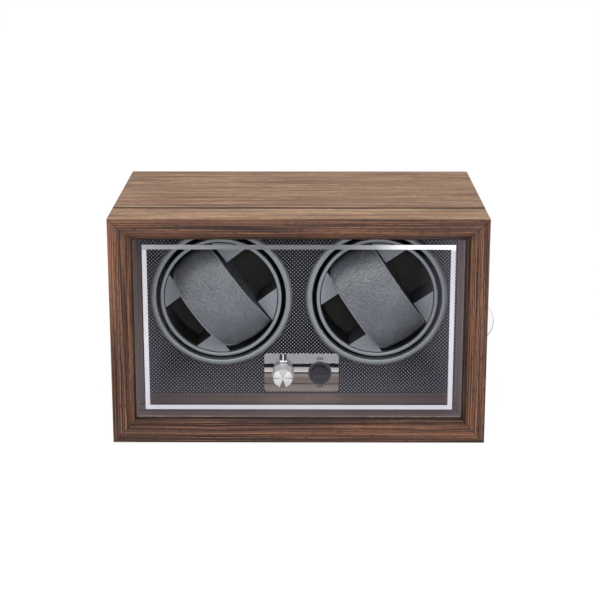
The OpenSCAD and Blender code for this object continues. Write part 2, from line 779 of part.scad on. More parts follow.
// A short ten-sided crystal with a bevelled crown of flat facets
module selector_knob() color([0.93, 0.94, 0.96, 0.5]) difference() {
    bar_y(knob_x, control_z, knob_r, knob_front_y, knob_back_y);
    for (i = [1 : knob_facets]) rotate_about_selector(360 * i / knob_facets) {
        translate([knob_x + knob_r * 0.955, knob_front_y - cut, control_z - knob_r])
            cube([knob_r, knob_len + 2 * cut, 2 * knob_r]);
        translate([knob_x + crown_r, knob_front_y, control_z - knob_r])
            rotate([0, 0, atan2(crown_h, knob_r - crown_r) - 90])
                translate([0, -knob_r, 0]) cube([knob_r, 4 * knob_r, 2 * knob_r]);
    }
    bar_y(knob_x, control_z, spindle_r + snug, knob_back_y - knob_bore_len, knob_back_y + cut);
}

module selector_spindle() color([0.78, 0.79, 0.80])
    bar_y(knob_x, control_z, spindle_r, knob_back_y - knob_bore_len, spindle_end_y);

module switch_housing() color([0.12, 0.12, 0.13]) difference() {
    union() {
        turned(switch_x, plate_y - rim_h, control_z, [
            [0, 0.2], [switch_flange_r, 0.2], [switch_flange_r, rim_h],
            [switch_body_r, rim_h], [switch_body_r, rim_h + switch_back_y - plate_y],
            [0, rim_h + switch_back_y - plate_y]]);
        for (dz = [-4, 4]) translate([switch_x - 2.4, switch_back_y - cut, control_z + dz - 0.4])
            cube([4.8, cut + switch_pin_len, 0.8]);
    }
    bar_y(switch_x, control_z, switch_cavity_r, plate_y - rim_h - cut, rocker_y + rocker_half + 1.5);
    translate([switch_x, rocker_y, control_z]) rotate([0, 90, 0])
        cylinder(r = pivot_r + pivot_gap, h = 2 * (rocker_r + pivot_len + 0.1), center = true);
}

module switch_rim() color([0.80, 0.80, 0.82]) turned(switch_x, plate_y - rim_h, control_z, [
    [switch_flange_r + snug, 0], [switch_r - 0.4, 0], [switch_r - 0.1, 0.3], [switch_r, 0.9],
    [switch_r, rim_h], [switch_flange_r + snug, rim_h]]);

// The rocker's face is a shallow V, and at rest its lower half is pressed in
module rocker() color([0.09, 0.09, 0.10])
    translate([switch_x, rocker_y, control_z]) rotate([rocker_tip / 2, 0, 0]) {
        difference() {
            bar_y(0, 0, rocker_r, -rocker_half, rocker_half);
            for (flip = [0, 1]) mirror([0, 0, flip])
                translate([-rocker_r, -rocker_half - 1.6, 0]) rotate([rocker_tip / 2, 0, 0])
                    translate([0, -rocker_half, 0]) cube([2 * rocker_r, rocker_half + 2, 2 * rocker_r]);
        }
        rotate([0, 90, 0]) cylinder(r = pivot_r, h = 2 * (rocker_r + pivot_len), center = true);
    }

// ---------- electrics ----------

module board_post_places() for (sx = [-1, 1], sz = [-1, 1])
    translate([pcb_x + sx * (pcb_w / 2 - post_inset), 0, pcb_z + sz * (pcb_h / 2 - post_inset)]) children();

module circuit_board() color([0.10, 0.35, 0.20]) difference() {
    union() {
        translate([pcb_x - pcb_w / 2, pcb_y, pcb_z - pcb_h / 2]) cube([pcb_w, pcb_t, pcb_h]);
        translate([pcb_x - 6, pcb_y + pcb_t, pcb_z - chip[2] / 2]) cube(chip);
        for (dx = capacitor_xs)
            bar_y(pcb_x + dx, pcb_z + 2, capacitor_r, pcb_y + pcb_t, pcb_y + pcb_t + capacitor_h);
        for (dx = plug_xs)
            translate([pcb_x + dx - plug[0] / 2, pcb_y + pcb_t, plug_z - plug[2] / 2]) cube(plug);
        translate([pcb_x + coil_x, pcb_y + pcb_t, pcb_z - coil_drop]) cube(coil);
    }
    board_post_places() bar_y(0, 0, screw_r + 0.2, pcb_y - cut, pcb_y + pcb_t + cut);
}

module board_posts() color([0.85, 0.85, 0.80]) board_post_places() {
    bar_y(0, 0, post_r, pcb_y - post_len, pcb_y);
    bar_y(0, 0, screw_r, pcb_y - cut, pcb_y + pcb_t);
    bar_y(0, 0, post_r * 0.8, pcb_y + pcb_t, pcb_y + pcb_t + 1);
}

function unit(v) = v / norm(v);

// Replaces each corner of a route by two points, one on each side of it
function eased(route) = let (last = len(route) - 1) concat([route[0]],
    [for (i = [1 : last - 1], toward = [i - 1, i + 1])
        route[i] + wire_bend * unit(route[toward] - route[i])],
    [route[last]]);

// A wire swept along a route; no stretch of the route runs along the vector across
module wire(route, across) {
    points = eased(route);
    last = len(points) - 1;
    rings = [for (i = [0 : last])
        let (along = unit(points[min(i + 1, last)] - points[max(i - 1, 0)]),
            side = unit(cross(along, across)), up = cross(side, along))
        for (k = [0 : wire_sides - 1]) let (a = 360 * k / wire_sides)
            points[i] + wire_r * (cos(a) * side + sin(a) * up)];
    polyhedron(rings, concat([[for (k = [wire_sides - 1 : -1 : 0]) k]],
        [[for (k = [0 : wire_sides - 1]) last * wire_sides + k]],
        [for (i = [0 : last - 1], k = [0 : wire_sides - 1])
            let (n = (k + 1) % wire_sides, at = i * wire_sides, next = at + wire_sides)
            [at + k, at + n, next + n, next + k]]));
}

// Wires from the board to the jack, to each motor, and through the chassis board to the controls
module wire_harness() color([0.55, 0.08, 0.08]) {
    start_y = pcb_y + pcb_t + plug[1];
    motor_end = chassis_back_y + gearbox_len + can_len + terminal_len;
    tall = [0.3, 0, 1];
    wire([[pcb_x + plug_xs[4], start_y, plug_z], [pcb_x + plug_xs[4], start_y + short_lead, plug_z],
        [pcb_x + pcb_w / 2 + wire_side / 2, start_y + wire_lead, jack_z],
        [jack_x, start_y + wire_lead, jack_z], [jack_x, back_panel_y - jack_body_in, jack_z]], tall);
    for (side = [-1, 1]) {
        plug_x = pcb_x + plug_xs[side < 0 ? 0 : 3];
        end_x = side * (drum_pitch / 2 - terminal_x);
        wire([[plug_x, start_y, plug_z], [plug_x, start_y + wire_lead, plug_z],
            [end_x - side * wire_side, motor_end + wire_tail, motor_z],
            [end_x, motor_end + wire_tail, motor_z], [end_x, motor_end, motor_z]], tall);
    }
    for (control = [[plug_xs[1], -3, knob_x, panel_back_y + selector_body_len],
            [plug_xs[2], 3, switch_x, switch_back_y]])
        wire([[pcb_x + control[0], start_y, plug_z], [pcb_x + control[0], start_y + short_lead, plug_z],
            [pcb_x + control[1], start_y + short_lead, wire_hole_z],
            [pcb_x + control[1], chassis_y - short_lead, wire_hole_z],
            [control[2], chassis_y - short_lead, control_z], [control[2], control[3], control_z]],
            [1, 0.2, 0.3]);
}

module dc_jack() color([0.08, 0.08, 0.09]) {
    face = back_y - back_recess;
    difference() {
        union() {
            bar_y(jack_x, jack_z, jack_r, back_panel_y - jack_body_in, face);
            bar_y(jack_x, jack_z, jack_r + 1.5, face, face + jack_collar);
            bar_y(jack_x, jack_z, jack_r + 2, back_panel_y - jack_nut, back_panel_y);
            for (dz = [-2.5, 2.5]) translate([jack_x - 1, back_panel_y - jack_body_in - 4, jack_z + dz - 0.3])
                cube([2, 5, 0.6]);
        }
        bar_y(jack_x, jack_z, jack_bore_r, face + jack_collar - jack_depth, face + jack_collar + cut);
    }
    bar_y(jack_x, jack_z, 1, face + jack_collar - jack_depth - cut, face + 0.4);
}

// ---------- hinges and catch ----------

// Screws through the leaves: dir 1 goes into the case, dir -1 into the door
module hinge_screws_at(dir, clear = 0) for (z0 = hinge_zs, rise = [1, 3])
    flat_screw(leaf_screw_x, seam_y + dir * leaf_gap, z0 + rise * leaf_screw_rise, dir, leaf_t, clear);

// Leaves with every other knuckle: dir 1 lies on the case, dir -1 on the door
module hinge_leaves(dir) difference() {
    for (z0 = hinge_zs) {
        y0 = dir > 0 ? seam_y + leaf_gap : seam_y - leaf_gap - leaf_t;
        first = dir > 0 ? 0 : 1;
        difference() {
            union() {
                translate([-half_w, y0, z0]) cube([leaf_w, leaf_t, hinge_len]);
                for (i = [first : 2 : knuckles - 1]) translate([0, 0, z0 + i * knuckle_len + knuckle_gap / 2]) {
                    translate([hinge_x, y0, 0]) cube([-half_w - hinge_x + cut, leaf_t, knuckle_len - knuckle_gap]);
                    translate([hinge_x, seam_y, 0]) cylinder(r = knuckle_r, h = knuckle_len - knuckle_gap);
                }
            }
            translate([hinge_x, seam_y, z0 - cut]) cylinder(r = pin_r + pin_gap, h = hinge_len + 2 * cut);
        }
    }
    hinge_screws_at(dir, snug);
}

module hinge_case_leaves() color([0.66, 0.65, 0.62]) hinge_leaves(1);
module hinge_door_leaves() color([0.66, 0.65, 0.62]) hinge_leaves(-1);

module hinge_pins() color([0.60, 0.59, 0.57]) for (z0 = hinge_zs) {
    translate([hinge_x, seam_y, z0]) cylinder(r = pin_r, h = hinge_len);
    for (z = [z0 - 0.8, z0 + hinge_len]) translate([hinge_x, seam_y, z])
        cylinder(r = knuckle_r - 0.4, h = 0.8);
}

module hinge_case_screws() color([0.62, 0.61, 0.59]) hinge_screws_at(1);
module hinge_door_screws() color([0.62, 0.61, 0.59]) hinge_screws_at(-1);

module strike_pockets() for (z = magnet_zs)
    bar_y(magnet_x, z, strike_r + snug, case_y - cut, case_y + strike_seat);

module strike_discs() color([0.75, 0.76, 0.78]) for (z = magnet_zs)
    bar_y(magnet_x, z, strike_r, case_y - strike_t, case_y + strike_seat);

module door_magnets() color([0.70, 0.70, 0.72]) for (z = magnet_zs)
    bar_y(magnet_x, z, magnet_r, door_back_y - magnet_t, door_back_y);

// ---------- door ----------

// Cross-section of the door frame: distance inwards against depth from the front
module moulding_profile() polygon([[0, 0], [face_w, 0], [board_t, bevel_d], [board_t, bevel_d + lip_t],
    [board_t - glass_rebate_w, bevel_d + lip_t], [board_t - glass_rebate_w, door_d], [0, door_d]]);

module door_member(side) intersection() {
    slab_y(front_y, door_back_y) polygon(mitre(half_w, base_z, box_h, board_t, side));
    if (side == "bottom") translate([half_w, front_y, base_z]) rotate([0, -90, 0])
        linear_extrude(box_w) moulding_profile();
    if (side == "top") translate([half_w, front_y, box_h]) mirror([0, 0, 1]) rotate([0, -90, 0])
        linear_extrude(box_w) moulding_profile();
    if (side == "left") translate([-half_w, front_y, base_z])
        linear_extrude(box_h - base_z) moulding_profile();
    if (side == "right") translate([half_w, front_y, base_z]) mirror([1, 0, 0])
        linear_extrude(box_h - base_z) moulding_profile();
}

module door_top_rail() color([0.45, 0.33, 0.28]) door_member("top");
module door_bottom_rail() color([0.42, 0.31, 0.26]) door_member("bottom");
module door_left_stile() color([0.42, 0.31, 0.26]) difference() {
    door_member("left");
    hinge_screws_at(-1, snug);
}

tab_y = front_y + door_d / 2;
tab_z = middle_z + tab_rise;

// A disc cut off straight where it is let into the stile
module tab_outline(grow) intersection() {
    translate([half_w + tab_out - tab_r, tab_z]) circle(r = tab_r + grow);
    translate([half_w - tab_in - grow, tab_z - 2 * tab_r]) square(4 * tab_r);
}

module door_right_stile() color([0.42, 0.31, 0.26]) difference() {
    door_member("right");
    slab_y(tab_y - tab_t / 2 - tab_gap, tab_y + tab_t / 2 + tab_gap) tab_outline(tab_gap);
    for (z = magnet_zs) bar_y(magnet_x, z, magnet_r + snug, door_back_y - magnet_t, door_back_y + cut);
}

module pull_tab() color([0.85, 0.85, 0.92, 0.5])
    slab_y(tab_y - tab_t / 2, tab_y + tab_t / 2) tab_outline(0);

module glass_pane() color([0.85, 0.90, 0.90, 0.3]) {
    grow = glass_rebate_w - glass_gap;
    translate([-inner_w / 2 - grow, glass_y, floor_z - grow])
        cube([inner_w + 2 * grow, glass_t, inner_h + 2 * grow]);
}

module glass_border() color([0.92, 0.92, 0.94]) slab_y(glass_back_y, glass_back_y + border_t) difference() {
    w = inner_w - 2 * border_margin_x;
    h = inner_h - 2 * border_margin_z;
    translate([-w / 2, floor_z + border_margin_z]) square([w, h]);
    translate([-w / 2 + border_w, floor_z + border_margin_z + border_w])
        square([w - 2 * border_w, h - 2 * border_w]);
}

// Four mitred strips that hold the glass and line the door's opening
module glass_beads() color([0.36, 0.30, 0.28]) for (side = ["top", "bottom", "left", "right"])
    slab_y(glass_back_y, door_back_y)
        polygon(mitre(inner_w / 2 + glass_rebate_w, floor_z - glass_rebate_w,
            ceiling_z + glass_rebate_w, glass_rebate_w, side));

top_board();
bottom_board();
left_board();
right_board();
back_panel();
back_screws();
base_felt();
display_panel();
panel_cleats();
bezel_ring_left();
bezel_ring_right();
control_plate();
selector_switch();
switch_housing();
switch_rim();
chassis_board();
chassis_cleats();
chassis_screws();
shaft_bush_left();
shaft_bush_right();
gearmotor_left();
gearmotor_right();
circuit_board();
board_posts();
wire_harness();
dc_jack();
hinge_case_leaves();
hinge_pins();
hinge_case_screws();
strike_discs();
door_top_rail();
door_bottom_rail();
door_left_stile();
door_right_stile();
glass_pane();
glass_border();
glass_beads();
pull_tab();
door_magnets();
hinge_door_leaves();
hinge_door_screws();
cup_left();
cup_right();
cup_rim_left();
cup_rim_right();
petal_blocks_left();
petal_blocks_right();
cup_shaft_left();
cup_shaft_right();
drive_gear_left();
drive_gear_right();
shaft_clip_left();
shaft_clip_right();
pillow_left();
pillow_right();
motor_pinion_left();
motor_pinion_right();
selector_knob();
selector_spindle();
rocker();
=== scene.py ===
import json
import math

import bmesh
import bpy
from mathutils import Matrix, Vector


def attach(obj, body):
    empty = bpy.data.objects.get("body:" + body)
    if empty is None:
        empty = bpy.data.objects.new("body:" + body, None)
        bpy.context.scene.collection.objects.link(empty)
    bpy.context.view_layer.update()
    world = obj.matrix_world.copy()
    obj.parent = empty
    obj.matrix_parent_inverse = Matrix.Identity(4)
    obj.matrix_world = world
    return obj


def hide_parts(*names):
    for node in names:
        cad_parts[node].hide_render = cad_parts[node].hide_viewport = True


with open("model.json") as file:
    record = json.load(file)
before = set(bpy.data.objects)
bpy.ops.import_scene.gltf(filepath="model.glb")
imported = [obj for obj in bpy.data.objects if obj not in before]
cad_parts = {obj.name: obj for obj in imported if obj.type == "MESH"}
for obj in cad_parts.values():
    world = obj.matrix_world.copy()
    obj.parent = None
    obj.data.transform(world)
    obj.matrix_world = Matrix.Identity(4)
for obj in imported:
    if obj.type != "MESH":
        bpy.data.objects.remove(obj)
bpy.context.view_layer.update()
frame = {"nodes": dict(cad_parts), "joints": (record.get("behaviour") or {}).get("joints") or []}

scene = bpy.context.scene
MM = 0.001
X, Y, Z = 0, 1, 2
SIDES = {"left": -1, "right": 1}


# ---------- sizes and places from the frame, in millimetres ----------

def extent(node_name, axis):
    """The low and the high end of a CAD node along an axis."""
    node = frame["nodes"][node_name]
    places = [(node.matrix_world @ v.co)[axis] / MM for v in node.data.vertices]
    return round(min(places), 3), round(max(places), 3)


def pivot(joint_name):
    """Where a joint is."""
    joint = next(joint for joint in frame["joints"] if joint["name"] == joint_name)
    return [round(c / MM, 3) for c in joint["pos_m"]]


HALF_W = extent("top_board", X)[1]
BASE_Z, TOP_Z = extent("left_board", Z)
PANEL_FRONT, PANEL_BACK = extent("display_panel", Y)
PLATE_FRONT = extent("control_plate", Y)[0]
KNOB_FRONT = extent("selector_knob", Y)[0]
KNOB_X, _, CONTROL_Z = pivot("knob_turn")
SWITCH_X = pivot("rocker_tip")[X]
DRUM_X, CUP_FRONT, DRUM_Z = pivot("right_drum_spin")
BORDER_HALF_W = extent("glass_border", X)[1]
BORDER_FOOT, BORDER_TOP = extent("glass_border", Z)
CUP_TURN = {"left": 37, "right": 34}    # degrees that each cup is turned at rest


# ---------- camera and lamps ----------

def linked(name, data):
    """A new object in the scene."""
    thing = bpy.data.objects.new(name, data)
    scene.collection.objects.link(thing)
    return thing


def make_camera():
    """Placed and aimed so that the box's corners fall where the photo has them."""
    lens_mm, tilt_down, turn = 97.377, 0.26611, 0.00433
    data = bpy.data.cameras.new("camera")
    data.sensor_width = 36
    data.lens = lens_mm
    data.clip_end = 60
    camera = linked("camera", data)
    camera.location = (0.006424, -1.3376, 0.45804)
    camera.rotation_euler = (math.pi / 2 - tilt_down, 0, turn)
    scene.camera = camera


def make_lamp(name, place, size, power):
    """A rectangular lamp that is aimed at the middle of the box."""
    target = (0, 0, 0.1)
    data = bpy.data.lights.new(name, "AREA")
    data.shape = "RECTANGLE"
    data.size, data.size_y = size
    data.energy = power
    lamp = linked(name, data)
    lamp.location = place
    aim = Vector(target) - Vector(place)
    lamp.rotation_euler = aim.to_track_quat("-Z", "Y").to_euler()


def make_sky(name, aim, spread, strength):
    """A very wide sun lamp: soft light that is even over the floor."""
    data = bpy.data.lights.new(name, "SUN")
    data.angle = math.radians(spread)
    data.energy = strength
    lamp = linked(name, data)
    lamp.rotation_euler = Vector(aim).to_track_quat("-Z", "Y").to_euler()


# ---------- node helpers ----------

class Nodes:
    """Short calls for building one material's node tree."""

    def __init__(self, tree):
        self.tree = tree

    def add(self, kind, inputs=None, **settings):
        node = self.tree.nodes.new(kind)
        for key, value in settings.items():
            setattr(node, key, value)
        for key, value in (inputs or {}).items():
            if isinstance(value, bpy.types.NodeSocket):
                self.tree.links.new(value, node.inputs[key])
            else:
                node.inputs[key].default_value = value
        return node

    def math(self, operation, a, b=0.0, c=0.0, clamp=False):
        node = self.add("ShaderNodeMath", {0: a, 1: b, 2: c}, operation=operation, use_clamp=clamp)
        return node.outputs[0]

    def object_mm(self):
        """The piece's own coordinates at rest, in millimetres, as three sockets."""
        place = self.add("ShaderNodeTexCoord").outputs["Object"]
        scaled = self.add("ShaderNodeVectorMath", {0: place, "Scale": 1 / MM}, operation="SCALE")
        return self.add("ShaderNodeSeparateXYZ", {0: scaled.outputs[0]}).outputs

    def vector(self, x, y, z):
        return self.add("ShaderNodeCombineXYZ", {0: x, 1: y, 2: z}).outputs[0]

    def noise(self, vector, scale=1.0, detail=2.0, rough=0.5):
        node = self.add("ShaderNodeTexNoise", {"Vector": vector, "Scale": scale, "Detail": detail,
                                               "Roughness": rough})
        return node.outputs[0]

    def ramp(self, value, stops):
        node = self.add("ShaderNodeValToRGB", {0: value})
        elements = node.color_ramp.elements
        while len(elements) < len(stops):
            elements.new(0.5)
        for element, (place, colour) in zip(elements, stops):
            element.position = place
            element.color = (*colour, 1)
        return node.outputs[0]

    def span(self, value, from_low, from_high, to_low=0.0, to_high=1.0):
        """Carries a value from one range to another and stops it at both ends."""
        node = self.add("ShaderNodeMapRange", {"Value": value, "From Min": from_low,
                                               "From Max": from_high, "To Min": to_low,
                                               "To Max": to_high})
        return node.outputs[0]

    def mix(self, factor, a, b):
        """Colour a where the factor is 0 and colour b where it is 1."""
        factor_socket, a_socket, b_socket, colour_out = 0, 6, 7, 2
        inputs = {factor_socket: factor}
        for socket, colour in ((a_socket, a), (b_socket, b)):
            inputs[socket] = (*colour, 1) if isinstance(colour, tuple) else colour
        return self.add("ShaderNodeMix", inputs, data_type="RGBA").outputs[colour_out]

    def bump(self, height, distance_mm, strength=1.0):
        node = self.add("ShaderNodeBump", {"Height": height, "Strength": strength,
                                           "Distance": distance_mm * MM})
        return node.outputs[0]

    def in_view(self):
        """1 for rays from the camera, off mirrors and through clear sheets, and 0 for the rest."""
        path = self.add("ShaderNodeLightPath").outputs
        seen = self.math("MAXIMUM", path["Is Camera Ray"], path["Is Glossy Ray"])
        return self.math("MAXIMUM", seen, path["Is Transmission Ray"])


def srgb(red, green, blue):
    """A colour written as it shows on a screen, 0 to 255."""
    return tuple((c / 255 / 12.92) if c <= 10 else ((c / 255 + 0.055) / 1.055) ** 2.4
                 for c in (red, green, blue))


def material(name, colour=(0.5, 0.5, 0.5), roughness=0.5, metallic=0.0, **sockets):
    mat = bpy.data.materials.new(name)
    mat.use_nodes = True
    shader = mat.node_tree.nodes["Principled BSDF"]
    shader.inputs["Base Color"].default_value = (*colour, 1)
    shader.inputs["Roughness"].default_value = roughness
    shader.inputs["Metallic"].default_value = metallic
    for key, value in sockets.items():
        shader.inputs[key.replace("_", " ")].default_value = value
    return mat, Nodes(mat.node_tree), shader


def connect(nodes, shader, **outputs):
    for key, output in outputs.items():
        nodes.tree.links.new(output, shader.inputs[key.replace("_", " ")])


# ---------- materials ----------

# Dark brown for the mitre joints, and for the painted shade lines where pieces meet
JOINT_AND_SHADE_DARK = srgb(24, 17, 15)


def wood(name, along, across, stops, stripe=0.3, fine=1.8, lines=0.65, run=0.002, fleck=0.15,
         gloss=0.5, depth=0.10, pores=0.7, seed=0.0, shade_line=None, mitred=False):
    """Straight-grained wood. along and across are (axis, sign, offset in mm).

    stripe and fine are how often the broad figure and the fine lines change in a millimetre across
    the grain, and run and fleck how often the figure and the open pores change along it. lines is
    the share of the fine lines, and pores how dark the pores are. The shade line is (axis, middle,
    half width): a dark line of painted shade where the piece meets its neighbour. A mitred piece has
    a thin dark line along its mitres."""
    sway_mm, sway_run, sway_across = 2.0, 0.012, 0.04
    mat, nodes, shader = material(name, roughness=gloss, Specular_IOR_Level=0.2)
    place = nodes.object_mm()
    third = ({X, Y, Z} - {along[0], across[0]}).pop()
    grain = nodes.math("MULTIPLY_ADD", place[along[0]], along[1], along[2] + seed)
    width = nodes.math("MULTIPLY_ADD", place[across[0]], across[1], across[2])
    deep = nodes.math("ADD", place[third], seed * 0.37)
    sway = nodes.noise(nodes.vector(nodes.math("MULTIPLY", grain, sway_run),
                                    nodes.math("MULTIPLY", width, sway_across), seed))
    aside = nodes.math("MULTIPLY", nodes.math("SUBTRACT", sway, 0.5), sway_mm)
    width = nodes.math("ADD", width, aside)

    def streaks(along_rate, across_rate, detail, rough=0.55):
        place = nodes.vector(nodes.math("MULTIPLY", grain, along_rate),
                             nodes.math("MULTIPLY", width, across_rate),
                             nodes.math("MULTIPLY", deep, across_rate))
        return nodes.noise(place, 1.0, detail, rough)

    broad = streaks(run, stripe, 1.5, 0.5)
    thin = streaks(run * 4, fine, 1.0, 0.6)
    value = nodes.math("ADD", nodes.math("MULTIPLY", broad, 1 - lines),
                       nodes.math("MULTIPLY", thin, lines))
    colour = nodes.ramp(value, stops)
    open_pores = nodes.span(streaks(fleck, fine, 1.0), 0.56, 0.66)
    colour = nodes.mix(nodes.math("MULTIPLY", open_pores, pores), colour, stops[0][1])
    # Painted shade: a dark line where the piece meets its neighbour
    if shade_line:
        axis, middle, half = shade_line
        away = nodes.math("ABSOLUTE", nodes.math("SUBTRACT", place[axis], middle))
        colour = nodes.mix(nodes.span(away, half, half + 0.6, 0.9, 0.0), colour, JOINT_AND_SHADE_DARK)
    if mitred:
        from_side = nodes.math("SUBTRACT", HALF_W, nodes.math("ABSOLUTE", place[X]))
        from_end = nodes.math("MINIMUM", nodes.math("SUBTRACT", place[Z], BASE_Z),
                              nodes.math("SUBTRACT", TOP_Z, place[Z]))
        away = nodes.math("ABSOLUTE", nodes.math("SUBTRACT", from_side, from_end))
        colour = nodes.mix(nodes.span(away, 0.2, 0.9, 0.3, 0.0), colour, JOINT_AND_SHADE_DARK)
    height = nodes.math("SUBTRACT", nodes.math("MULTIPLY", thin, 0.5), open_pores)
    rough = nodes.span(value, 0.3, 0.7, gloss + 0.08, gloss - 0.08)
    connect(nodes, shader, Base_Color=colour, Roughness=rough, Normal=nodes.bump(height, depth, 0.5))
    return mat


def lighter(stops, factor):
    """A ramp's stops with every colour brightened."""
    return [(place, tuple(factor * c for c in colour)) for place, colour in stops]


# The same walnut on the door's front and on the top: the top's stops are painted lighter, painted light
# from above, and the front's darker, painted shade on the upright face
FRONT_SHADED_STOPS = [(0.41, srgb(28, 19, 17)), (0.46, srgb(59, 40, 33)), (0.50, srgb(76, 52, 42)),
               (0.54, srgb(97, 66, 51)), (0.59, srgb(136, 93, 70))]
TOP_LIT_STOPS = [(0.37, srgb(122, 92, 71)), (0.43, srgb(154, 122, 98)), (0.47, srgb(122, 92, 72)),
             (0.50, srgb(172, 139, 112)), (0.54, srgb(140, 109, 86)), (0.59, srgb(194, 160, 130)),
             (0.64, srgb(152, 120, 96))]
# The door's top: the top's wood brightened, a lit copy, painted light
DOOR_TOP_LIT_STOPS = lighter(TOP_LIT_STOPS, 1.22)
SIDE_STOPS = [(0.38, srgb(58, 41, 34)), (0.46, srgb(84, 59, 47)), (0.54, srgb(106, 75, 59)),
              (0.62, srgb(136, 97, 75))]
INSIDE_STOPS = [(0.35, srgb(101, 83, 74)), (0.5, srgb(116, 97, 87)), (0.65, srgb(129, 108, 97))]
# The inner walls and the beads' upright faces: the inside wood brightened, a lit copy, painted light
# where less light reaches
WALL_LIT_STOPS = lighter(INSIDE_STOPS, 1.45)
# Near-black wood for the boards' front and back edges and the door's back: painted shade, so that the
# gap between door and case reads dark
GAP_SHADE_EDGE_STOPS = [(0.35, srgb(26, 20, 18)), (0.65, srgb(46, 34, 30))]
SOFTWOOD_STOPS = [(0.3, srgb(182, 145, 98)), (0.55, srgb(206, 172, 124)), (0.7, srgb(220, 190, 145))]

# Painted shade as (axis, middle, half width): dark lines that stand in for the shade on the door's lip
# where it meets the glass, and on the case and on the door along the gap where these two meet
GLASS_SHADE_LINE = (Y, -91.2, 1.4)
CASE_SHADE_LINE = (Y, -56.4, 0.9)
DOOR_SHADE_LINE = (Y, -59.6, 0.9)

# Along and across the grain on each member of the door, and its seed: the grain runs on round the
# two upper mitres
DOOR_FRONT = {
    "top": ((X, 1, 0), (Z, -1, TOP_Z), 0),
    "right": ((Z, -1, HALF_W + TOP_Z), (X, -1, HALF_W), 0),
    "bottom": ((X, -1, 2 * HALF_W + TOP_Z), (Z, 1, -BASE_Z), 3),
    "left": ((Z, 1, -HALF_W - TOP_Z), (X, 1, HALF_W), 0),
}
WOOD = {"front_" + edge: wood("wood_front_" + edge, along, across, FRONT_SHADED_STOPS, seed=seed,
                              shade_line=GLASS_SHADE_LINE, mitred=True)
        for edge, (along, across, seed) in DOOR_FRONT.items()}
WOOD.update({
    "top": wood("wood_top", (X, 1, 40), (Y, 1, 0), TOP_LIT_STOPS, stripe=0.16, fine=0.9, lines=0.3,
                run=0.012, fleck=0.16, gloss=0.65, shade_line=CASE_SHADE_LINE),
    "door_top": wood("wood_door_top", (X, 1, 90), (Y, 1, 60), DOOR_TOP_LIT_STOPS, stripe=0.15, fine=0.9,
                     lines=0.3, run=0.012, fleck=0.16, gloss=0.65, seed=7, shade_line=DOOR_SHADE_LINE),
    "side": wood("wood_side", (Z, 1, 0), (Y, 1, 0), SIDE_STOPS, fine=1.5, lines=0.5, seed=13),
    "under": wood("wood_under", (X, 1, 0), (Y, 1, 0), SIDE_STOPS, fine=1.5, lines=0.5, seed=17),
    "edge": wood("wood_edge_gap_shade", (X, 1, 0), (Z, 1, 0), GAP_SHADE_EDGE_STOPS, seed=19),
    "inside": wood("wood_inside", (X, 1, 0), (Y, 1, 0), INSIDE_STOPS, stripe=0.2, fine=0.9, lines=0.2,
                   gloss=0.6, depth=0.03, pores=0.2, seed=23),
    "inside_wall": wood("wood_inside_wall", (Z, 1, 0), (Y, 1, 0), WALL_LIT_STOPS, stripe=0.2, fine=0.9,
                        lines=0.2, gloss=0.6, depth=0.03, pores=0.2, seed=29),
    "softwood": wood("softwood", (Z, 1, 0), (X, 1, 0), SOFTWOOD_STOPS, stripe=0.2, seed=31),
})


def carbon_film():
    """Plain-weave carbon film: a chequer of tows, one way painted light and the other dark as a painted
    reflection, each rounded across its width and painted darker towards its edges as painted shade.
    """
    mat, nodes, shader = material("carbon_film", roughness=0.38, Specular_IOR_Level=0.15)
    place = nodes.object_mm()
    tow = 1.56      # the width of a tow in millimetres
    u = nodes.math("DIVIDE", place[X], tow)
    v = nodes.math("DIVIDE", place[Z], tow)
    cell = nodes.math("ADD", nodes.math("FLOOR", u), nodes.math("FLOOR", v))
    over = nodes.math("PINGPONG", cell, 1.0)
    hump = [nodes.math("MULTIPLY", nodes.math("PINGPONG", axis, 0.5), 2.0) for axis in (u, v)]
    both = nodes.math("MULTIPLY", *[nodes.span(h, 0.15, 0.75) for h in hump])
    strands = nodes.noise(nodes.vector(nodes.math("MULTIPLY", u, 0.8), 0.0,
                                       nodes.math("MULTIPLY", v, 9.0)))
    # Painted reflection and shade: the tows on top painted light, each darker towards its edges
    light = nodes.math("MULTIPLY", nodes.math("MULTIPLY", over, both),
                       nodes.span(strands, 0.3, 0.7, 0.7, 1.2))
    colour = nodes.ramp(light, [(0.0, srgb(12, 12, 15)), (0.2, srgb(16, 16, 19)),
                                (0.85, srgb(162, 163, 173))])
    height = nodes.mix(over, *[nodes.vector(h, h, h) for h in hump])
    connect(nodes, shader, Base_Color=colour, Roughness=nodes.span(light, 0, 1, 0.45, 0.28),
            Normal=nodes.bump(height, 0.12, 0.6))
    return mat


def speckled(name, colour, roughness, metallic=0.0, spread=0.1, grain=1.2, depth=0.02, **sockets):
    """Plain moulded or coated material with a slight mottle and a fine grain."""
    mat, nodes, shader = material(name, colour, roughness, metallic, **sockets)
    place = nodes.vector(*nodes.object_mm())
    mottle = nodes.noise(place, 0.09, 3.0)
    fine = nodes.noise(place, grain, 2.0)
    low = [c * (1 - spread) for c in colour]
    high = [min(1, c * (1 + spread)) for c in colour]
    tone = nodes.math("ADD", nodes.math("MULTIPLY", mottle, 0.7), nodes.math("MULTIPLY", fine, 0.3))
    connect(nodes, shader, Base_Color=nodes.ramp(tone, [(0.35, low), (0.65, high)]),
            Roughness=nodes.span(tone, 0.3, 0.7, roughness * 0.9, min(1, roughness * 1.12)))
    if depth:
        connect(nodes, shader, Normal=nodes.bump(fine, depth, 0.5))
    return mat


